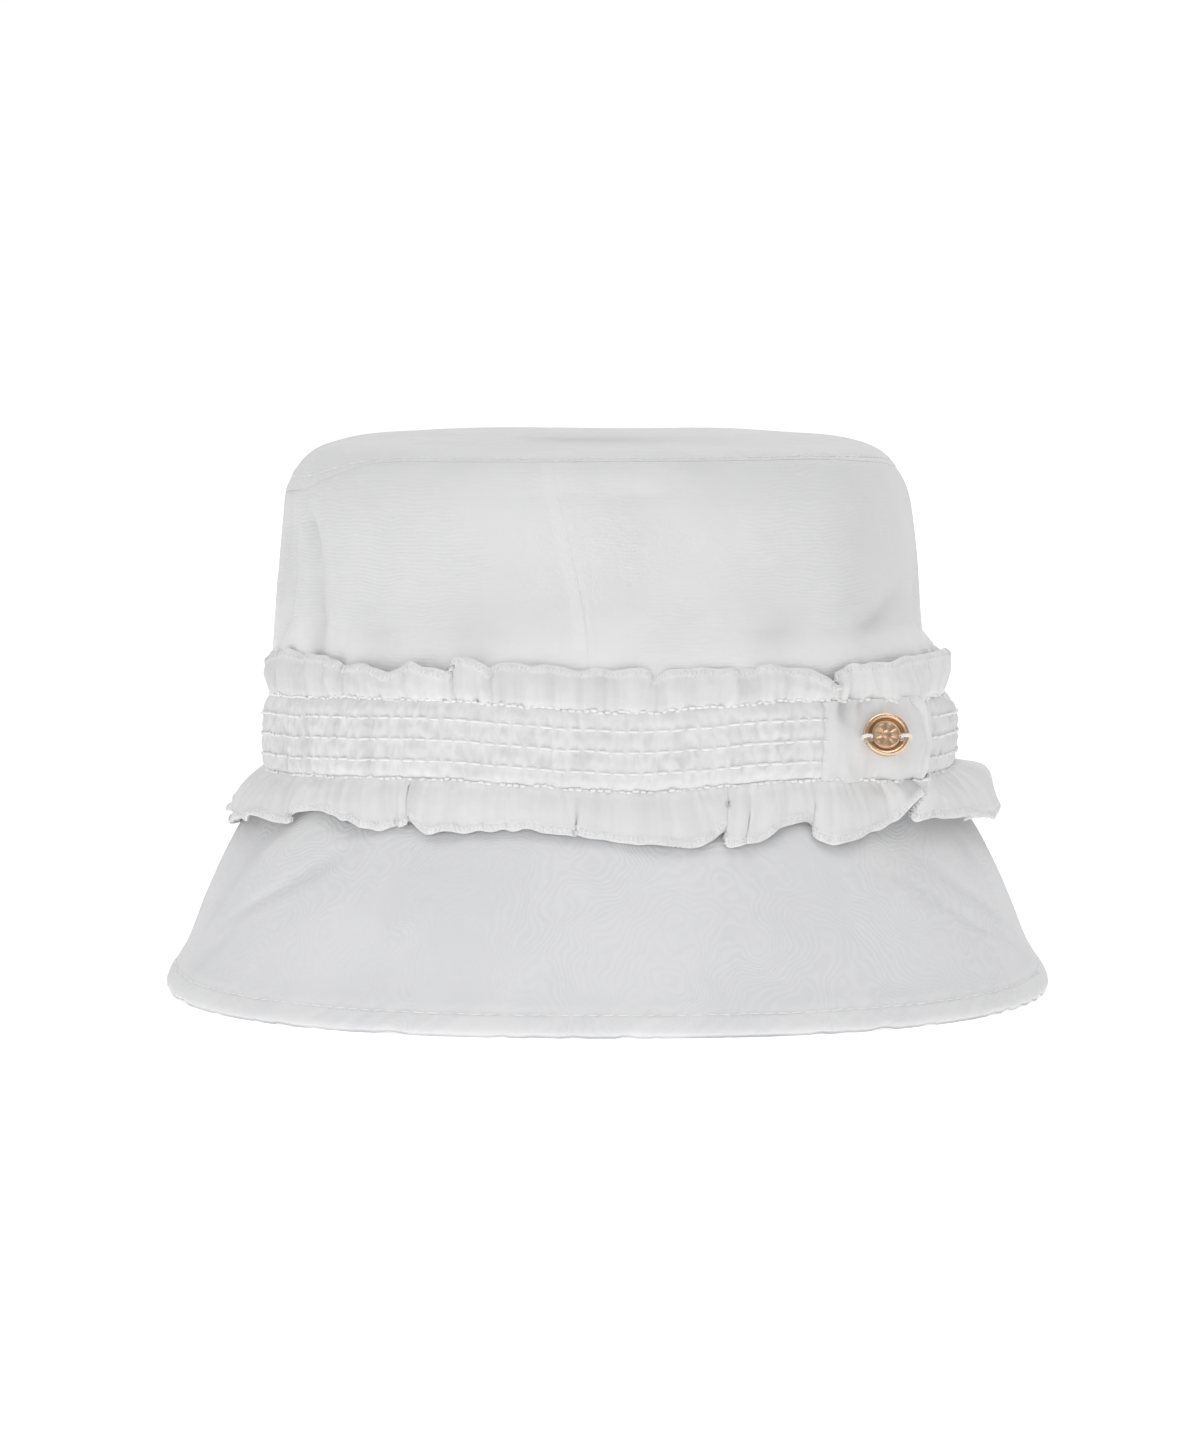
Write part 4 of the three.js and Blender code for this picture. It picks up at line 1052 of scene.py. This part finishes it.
def sewing_tree(name, sizes, shape):
    """shape(nodes, sizes) makes one stitch that lies along X with its outer side towards Z."""
    tree = bpy.data.node_groups.new(name, "GeometryNodeTree")
    tree.interface.new_socket("Line", in_out="INPUT", socket_type="NodeSocketGeometry")
    for size in sizes:
        tree.interface.new_socket(size, in_out="INPUT", socket_type="NodeSocketFloat")
    tree.interface.new_socket("Finish", in_out="INPUT", socket_type="NodeSocketMaterial")
    tree.interface.new_socket("Sewn", in_out="OUTPUT", socket_type="NodeSocketGeometry")
    nodes = Nodes(tree)
    group = nodes.add("NodeGroupInput").socket.node
    given = {socket.name: Value(nodes, socket) for socket in group.outputs if socket.name}
    curve = nodes.add("GeometryNodeMeshToCurve", inputs={0: given["Line"]})
    resample = {"Curve": curve, "Length": given["Spacing"]}
    points = nodes.add("GeometryNodeResampleCurve", {"mode": "LENGTH"}, resample)
    out = nodes.add("GeometryNodeInputNamedAttribute", {"data_type": "FLOAT_VECTOR"}, {"Name": "out"})
    along = nodes.add("GeometryNodeInputTangent")
    axes = {"primary_axis": "Z", "secondary_axis": "X"}
    turn = nodes.add("FunctionNodeAxesToRotation", axes, {0: out, 1: along})
    uneven = nodes.add("FunctionNodeRandomValue", {"data_type": "FLOAT"}, {2: 0.88, 3: 1.08, "Seed": 7}, 1)
    inputs = {"Points": points, "Instance": shape(nodes, given), "Rotation": turn, "Scale": uneven}
    placed = nodes.add("GeometryNodeInstanceOnPoints", inputs=inputs)
    real = nodes.add("GeometryNodeRealizeInstances", inputs={0: placed})
    smooth_faces = nodes.add("GeometryNodeSetShadeSmooth", inputs={0: real})
    finish = nodes.add("GeometryNodeSetMaterial", inputs={0: smooth_faces, "Material": given["Finish"]})
    nodes.add("NodeGroupOutput", inputs={0: finish})
    return tree


print("a line, its spacing and a shape make a seam")

# %% A stitch, and the loops of an overlock


def stitch_shape(nodes, sizes):
    """A grain of thread, round across and pointed at its ends."""
    ball = nodes.add("GeometryNodeMeshUVSphere", inputs={"Segments": 6, "Rings": 5, "Radius": 1.0})
    level = nodes.add("GeometryNodeTransform", inputs={0: ball, "Rotation": (0, math.pi / 2, 0)})
    half = {0: sizes["Length"] * 0.5, 1: sizes["Thickness"] * 0.5, 2: sizes["Thickness"] * 0.45}
    scale = nodes.add("ShaderNodeCombineXYZ", inputs=half)
    return nodes.add("GeometryNodeTransform", inputs={0: level, "Scale": scale})


def loop_shape(nodes, sizes):
    """Two slanting loops round the edge that cross, as the two threads of an overlock do."""
    profile = nodes.add("GeometryNodeCurvePrimitiveCircle", inputs={"Resolution": 3})
    thin = nodes.add("GeometryNodeTransform", inputs={0: profile})
    nodes.tree.links.new((sizes["Thickness"] * 0.5).socket, profile.socket.node.inputs["Radius"])
    both = nodes.add("GeometryNodeJoinGeometry").socket.node
    for lean in (-1, 1):
        circle = nodes.add("GeometryNodeCurvePrimitiveCircle", inputs={"Resolution": 10, "Radius": 1.0})
        half = {0: sizes["Thick"] * 0.5, 1: sizes["Tall"] * 0.5, 2: 1.0}
        scale = nodes.add("ShaderNodeCombineXYZ", inputs=half)
        oval = nodes.add("GeometryNodeTransform", inputs={0: circle, "Scale": scale})
        upright = nodes.add("GeometryNodeTransform", inputs={0: oval, "Rotation": (0, math.pi / 2, 0)})
        leaning = nodes.add("GeometryNodeTransform", inputs={0: upright, "Rotation": (0, 0, lean * 0.5)})
        tube = nodes.add("GeometryNodeCurveToMesh", inputs={"Curve": leaning, "Profile Curve": thin})
        nodes.tree.links.new(tube.socket, both.inputs[0])
    return Value(nodes, both.outputs[0])


STITCHES = sewing_tree("stitches_along_a_line", ("Spacing", "Length", "Thickness"), stitch_shape)
OVERLOCK = sewing_tree("overlock_along_an_edge", ("Spacing", "Tall", "Thick", "Thickness"), loop_shape)
print("trees", [tree.name for tree in (STITCHES, OVERLOCK)])

# %% Sewing along a line


def settle(thing):
    """Turns an object and what its modifiers make of it into a plain mesh."""
    depsgraph = bpy.context.evaluated_depsgraph_get()
    plain = bpy.data.meshes.new_from_object(thing.evaluated_get(depsgraph))
    thing.modifiers.clear()
    thing.data = plain


def sew(name, tree, points, out, closed, **sizes):
    """Sews along a line of points in millimetres; sizes are in millimetres too."""
    count = len(points)
    edges = [(i, (i + 1) % count) for i in range(count if closed else count - 1)]
    mesh = bpy.data.meshes.new(name)
    mesh.from_pydata(points * MM, edges, [])
    mesh.attributes.new("out", "FLOAT_VECTOR", "POINT").data.foreach_set("vector", out.ravel())
    line = put(name, mesh)
    modifier = line.modifiers.new("sewing", "NODES")
    modifier.node_group = tree
    sockets = {item.name: item.identifier for item in tree.interface.items_tree if item.in_out == "INPUT"}
    for size, value in sizes.items():
        modifier[sockets[size]] = value * MM
    modifier[sockets["Finish"]] = THREAD
    settle(line)
    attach(line, BODY)
    print(name, sum(len(face.vertices) - 2 for face in line.data.polygons), "triangles")


# %% [markdown]
# A machine's topstitching is a row of small dashes. They could be painted on, but real ones lie proud of
# the cloth and catch the light, so each is a grain of thread just above the surface. The rows of elastic
# are the same dashes, drawn tight over the pleats, and the gathers are sewn closer and less evenly.

# %% Topstitching on the hem and round the crown's top, and rows of elastic


def sew_over(name, surface, angle, level, closed, step=0.2, side=1, lift=0.12, **sizes):
    """Stitches that stand proud of a surface(angle, level) by the lift. The surface is felt a step below
    and above them for the way it faces; side is -1 where its outside is the other one."""
    grid = surface(angle[None, :], level + step * np.array([-1, 0, 1])[:, None])
    out = side * facing(grid, closed)[1]
    sew(name, STITCHES, grid[1] + out * lift, out, closed, **sizes)


def tip_near_seam(angle, inside):
    """The crown's top by the distance from its seam, which grows outwards."""
    outward = read(CROWN_PROFILE, "outward", tip_seam(angle))
    return tip_surface(angle, 1 + inside / outward)


def under_thread(angle, row):
    """The strip as a taut thread meets it, over its narrow pleats."""
    return band_surface(angle, row, pleated=0.3)


HEM_STITCH = dict(Spacing=3.5, Length=3.0, Thickness=0.42)
sew_over("hem_stitches", brim_surface, all_round(1400), HEM, True, **HEM_STITCH)
TIP_STITCHING = dict(step=0.3, side=-1, lift=0.1, Spacing=3.3, Length=2.8, Thickness=0.4)
sew_over("tip_stitches", tip_near_seam, all_round(1200), -TIP_STITCH, True, **TIP_STITCHING)
ELASTIC_STITCH = dict(lift=0.52, Spacing=3.5, Length=3.15, Thickness=0.78)
band_angle = np.linspace(PLAIN_END - 4, BAND_END - 0.4, 2200)
for row in (1, 2, 3):
    sew_over(f"elastic_stitches_{row}", under_thread, band_angle, row, False, **ELASTIC_STITCH)


def gather_stitches(name, row):
    """The close bumpy stitching where a ruffle leaves the band."""
    angle = all_round(1500)
    outward = gathered_out(angle, row) + pushed_out(angle)
    plain = ring(angle, outward, band_height(angle, row))
    bumpy = 0.7 * ripple(plain, 1.6, 1, 41 + row)
    wander = 0.5 * ripple(plain, 6, 1, 43 + row)
    line = ring(angle, outward + 0.5 + bumpy, band_height(angle, row) + 0.9 * bumpy + wander)
    out = facing(np.stack([line - (0, 0, 1), line, line + (0, 0, 1)]), True)[1]
    sew(name, STITCHES, line, out, True, Spacing=1.8, Length=1.7, Thickness=0.9)


gather_stitches("top_gather_stitches", TOP_ROW)
gather_stitches("foot_gather_stitches", 0)

# %% [markdown]
# An overlocking machine trims the edge of a frill and wraps it in thread in one go. It shows as a fine
# zigzag round a thicker edge, so each stitch is two slanting loops that cross, laid round the cloth.

# %% The overlocked edges


def overlock(name, folds, row, direction, seed):
    """Crossing loops of thread round the free edge of a ruffle."""
    place = even_places(folds, 2400)[None, :]
    fold = fold_values(folds, place)
    length = np.hypot(fold["out"], fold["up"])
    along = 1 - np.array([EDGE_TALL * 0.55, EDGE_TALL * 0.45])[:, None] / length
    lines = ruffle_surface(folds, row, direction, place, along, seed)
    if direction < 0:
        lines = lines[::-1]
    out = facing(lines, True)[0]
    sizes = dict(Spacing=1.15, Tall=EDGE_TALL, Thick=1.25, Thickness=0.3)
    sew(name, OVERLOCK, lines.mean(0), out, True, **sizes)


overlock("upper_overlock", **UPPER_RUFFLE)
overlock("lower_overlock", **LOWER_RUFFLE)

# %% [markdown]
# The button is a small casting, plated in pale rose gold: a dished back, a thick raised rim, a sunk ring
# and a flat middle with a rosette in low relief. Turning a profile round its axis gives all of it; the
# petals are a wave added to the height. Two slots are cut through it for the thread.

# %% The button's place and plating
BUTTON_PLACE = Vector((66.2, -78, 67.3))
BUTTON_TURN, BUTTON_TILT = 5, 26  # degrees towards +X and up
SLOT_CENTRE, SLOT_DROP, SLOT_WIDE, SLOT_TALL = 3.6, 0.6, 1.1, 2.0
BUTTON_RADIUS, BUTTON_RIM = 5.5, 1.5


def on_tab(points):
    """Turns and places points made with the button's face towards +Y."""
    turn, tilt = math.radians(BUTTON_TURN), math.radians(BUTTON_TILT)
    face = Vector((math.sin(turn) * math.cos(tilt), -math.cos(turn) * math.cos(tilt), math.sin(tilt)))
    right = Vector((0, 0, 1)).cross(face).normalized()
    return points @ np.array([right, face, right.cross(face)]) + np.array(BUTTON_PLACE)


def button_finish():
    """Polished rose-gold plate, a little duller and darker where it is sunk."""
    finish = Finish("pale_gold", Metallic=1.0)
    sunk = finish.mark("sunk")
    patchiness = finish.clouds(900, 4.0)
    plate = finish.blend(patchiness, (0.76, 0.52, 0.34, 1), (0.86, 0.64, 0.45, 1))
    finish.feed("Base Color", finish.blend(sunk, plate, (0.42, 0.23, 0.11, 1)))
    finish.feed("Roughness", sunk * 0.2 + patchiness * 0.12 + 0.2)
    finish.bump(finish.clouds(2600, 3.0), 0.00004)
    return finish.material


print("button at", [round(side, 1) for side in BUTTON_PLACE], "mm")

# %% The casting
RIM_TOP_ROW = 8  # the row of the profile that is the rim's top, counted from 0
FACE = 1.0  # height of the flat that the petals stand on
PETALS = 7
PETAL_TALL = 0.16


def round_faces(rows, sides, turned=False):
    """Faces of rings of corners joined into a closed tube; turned if its rows run the other way."""
    faces = [
        (r * sides + c, r * sides + (c + 1) % sides, (r + 1) * sides + (c + 1) % sides, (r + 1) * sides + c)
        for r in range(rows - 1) for c in range(sides)
    ]
    first, last = list(range(sides)), [(rows - 1) * sides + c for c in range(sides)]
    if turned:
        return [(a, d, c, b) for a, b, c, d in faces] + [first, last[::-1]]
    return faces + [first[::-1], last]


def button():
    """The casting, turned from its profile."""
    profile = table(
        "radius height",
        (0.02, -0.6), (3.6, -0.6), (4.5, -0.4), (5.1, 0), (5.4, 0.4), (BUTTON_RADIUS, 0.8), (5.42, 1.15),
        (5.2, 1.42), (4.9, BUTTON_RIM), (4.6, 1.44), (4.35, 1.3), (4.2, 1.05), (4.1, 0.75), (3.95, 0.66),
        (3.75, 0.66), (3.62, 0.78), (3.52, 0.98), (3.42, 1.05), (3.25, 1.05), (3.1, 0.98), (2.95, 0.98),
        *[(radius, FACE) for radius in (2.7, 2.4, 2.1, 1.8, 1.5, 1.2)],
        (1.0, 1.02), (0.8, 1.1), (0.5, 1.16), (0.02, 1.18),
    )
    columns = 112
    turn = np.radians(all_round(columns))[None, :]
    radius, height = profile["radius"][:, None], profile["height"][:, None]
    on_face = (height > 0.6) * smooth(0.9, 1.5, radius) * smooth(3.1, 2.5, radius)
    petal = np.abs(np.cos(PETALS / 2 * turn)) ** 0.8 - 0.5
    height = height + PETAL_TALL * on_face * petal
    points = np.stack(np.broadcast_arrays(radius * np.sin(turn), height, radius * np.cos(turn)), -1)
    mesh = bpy.data.meshes.new("button_casting")
    rows = len(profile["radius"])
    mesh.from_pydata(on_tab(points.reshape(-1, 3)) * MM, [], round_faces(rows, columns, turned=True))
    inside_rim = smooth(4.7, 4.3, radius) * (np.arange(rows)[:, None] > RIM_TOP_ROW)
    depth = 0.35 + 0.65 * smooth(0.95, 0.7, height) - 0.5 * on_face * petal
    sunk = np.clip(depth * inside_rim, 0, 1) + 0 * turn
    mesh.attributes.new("sunk", "FLOAT", "POINT").data.foreach_set("value", sunk.ravel())
    return put("button_casting", mesh)


CASTING = button()
print("casting", len(CASTING.data.polygons), "faces")

# %% The slots
SHARP = math.radians(40)  # edges that bend more than this stay sharp
CUTTER_REACH = 3  # millimetres from the button's back to each end of a cutter, more than it is thick


def cut_slots(casting):
    """Takes the two slots out of the casting."""
    for side in (-1, 1):
        corners = [
            (side * SLOT_CENTRE + x * SLOT_WIDE / 2, CUTTER_REACH * y, SLOT_DROP + z * SLOT_TALL / 2)
            for x in (-1, 1) for y in (-1, 1) for z in (-1, 1)
        ]
        sides = [(0, 1, 3, 2), (4, 6, 7, 5), (0, 4, 5, 1), (2, 3, 7, 6), (0, 2, 6, 4), (1, 5, 7, 3)]
        block = bpy.data.meshes.new("slot")
        block.from_pydata(on_tab(np.array(corners)) * MM, [], sides)
        cutter = put("slot", block)
        cut = casting.modifiers.new("slot", "BOOLEAN")
        cut.object = cutter
        cut.operation = "DIFFERENCE"
        cut.solver = "EXACT"
        settle(casting)
        bpy.data.objects.remove(cutter)
    casting.data.shade_smooth()
    casting.data.set_sharp_from_angle(angle=SHARP)
    return casting


BUTTON = dress(cut_slots(CASTING), button_finish(), "pale_gold", "button")
print("button", len(BUTTON.data.polygons), "faces")

# %% [markdown]
# Three strands of thread come up through each slot and go over the rim. Each strand is a thin tube whose
# middle winds round the route that they share.

# %% The button's thread
STRANDS, TWISTS = 3, 1.2
STRAND_SPREAD, STRAND_THICK = 0.27, 0.42  # millimetres from the route to a strand, and across a strand
STRAND_SIDES = 8


def smooth_line(points, steps):
    """A curve through a few points, as many points."""
    points = np.array(points, float)
    at = table("at x y z", *[(i, *point) for i, point in enumerate(points)])
    along = np.linspace(0, len(points) - 1, steps)
    return np.stack([read(at, axis, along) for axis in "xyz"], -1)


def wind(route, radius, turn):
    """Points round a route, at a distance from it; turn has a row of angles for each of its points."""
    along = np.gradient(route, axis=0)
    along /= np.linalg.norm(along, axis=1, keepdims=True)
    across = np.cross(along, (0.0, 0.3, 1.0))
    across /= np.linalg.norm(across, axis=1, keepdims=True)
    other = np.cross(along, across)
    turn = turn[..., None]
    return route[:, None] + radius * (np.cos(turn) * across[:, None] + np.sin(turn) * other[:, None])


def strands(name, route):
    """Several strands wound round one route, as one mesh; route is in millimetres."""
    sides = np.radians(all_round(STRAND_SIDES))[None, :]
    winding = np.linspace(0, TWISTS * math.tau, len(route))[:, None]
    wound = wind(route, STRAND_SPREAD, winding + np.radians(all_round(STRANDS)))
    corners, faces = [], []
    for strand in range(STRANDS):
        first = strand * len(route) * STRAND_SIDES
        corners.append(wind(wound[:, strand], STRAND_THICK / 2, sides).reshape(-1, 3))
        faces += [[first + corner for corner in face] for face in round_faces(len(route), STRAND_SIDES)]
    mesh = bpy.data.meshes.new(name)
    mesh.from_pydata(np.concatenate(corners) * MM, [], faces)
    mesh.shade_smooth()
    return put(name, mesh)


for side, name in ((-1, "left"), (1, "right")):
    way = [
        (side * SLOT_CENTRE, -1.2, SLOT_DROP), (side * SLOT_CENTRE, 1.0, SLOT_DROP),
        (side * (SLOT_CENTRE + 0.4), 1.8, SLOT_DROP), (side * (BUTTON_RADIUS - 0.7), 1.9, SLOT_DROP),
        (side * (BUTTON_RADIUS + 0.15), 1.2, SLOT_DROP), (side * (BUTTON_RADIUS + 0.2), -0.9, SLOT_DROP),
    ]
    loops = strands(f"button_thread_{name}", on_tab(smooth_line(way, 48)))
    dress(loops, THREAD, "white_thread", f"button_stitch_{name}")
print("button thread sewn")

# %% [markdown]
# Each piece of cloth was cut flat before it was sewn. The gathered strip was cut much longer than the
# line that it is sewn to: that is what makes the pleats.

# %% How the pieces were cut
print("the cloth was cut flat, then sewn")

# %% [markdown]
# The room is a plain white sheet that curves up behind the hat, so bright that it hardly keeps a shadow.
# The light is an even sky with large soft lamps round the hat, the strongest by the camera: that is how
# white cloth is shown on white, with folds that only just turn grey.

# %% Floor, sky and lamps
SKY_LIGHT = 0.36


def backdrop():
    """A floor that curves up into a wall."""
    half_wide, front, bend, reach, tall = 6.0, -4.0, 3.0, 2.0, 5.0
    turn = np.linspace(0, np.pi / 2, 24)
    profile = [(front, 0.0)] + [(bend + reach * math.sin(t), reach * (1 - math.cos(t))) for t in turn]
    profile.append((bend + reach, tall))
    points = [(side * half_wide, y, z) for y, z in profile for side in (-1, 1)]
    faces = [(2 * i, 2 * i + 1, 2 * i + 3, 2 * i + 2) for i in range(len(profile) - 1)]
    mesh = bpy.data.meshes.new("backdrop")
    mesh.from_pydata(points, [], faces)
    mesh.shade_smooth()
    sheet = put("backdrop", mesh)
    paper = Finish(
        "studio_paper", Base_Color=(0.9, 0.9, 0.9, 1), Roughness=1.0, Specular_IOR_Level=0.0,
        Emission_Color=(1, 1, 1, 1), Emission_Strength=0.5,
    )
    mesh.materials.append(paper.material)


def lamp(name, place, aim, size, power):
    """A large square soft lamp."""
    light = bpy.data.lights.new(name, "AREA")
    light.shape = "SQUARE"
    light.size = size
    light.energy = power
    holder = put(name, light)
    holder.location = place
    holder.rotation_euler = (Vector(aim) - Vector(place)).to_track_quat("-Z", "Y").to_euler()


backdrop()
HAT_MIDDLE = (0, 0, 0.07)
lamp("front", (-0.6, -2.6, 0.5), HAT_MIDDLE, 2.2, 20)
lamp("back", (0.4, 2.4, 1.2), HAT_MIDDLE, 1.6, 8)
lamp("above", (0.1, -0.3, 2.6), HAT_MIDDLE, 1.6, 20)
sky = bpy.data.worlds.new("sky")
sky.use_nodes = True
background = sky.node_tree.nodes["Background"]
background.inputs["Color"].default_value = (1, 1, 1, 1)
background.inputs["Strength"].default_value = SKY_LIGHT
bpy.context.scene.world = sky
bpy.context.scene.view_settings.view_transform = "Standard"
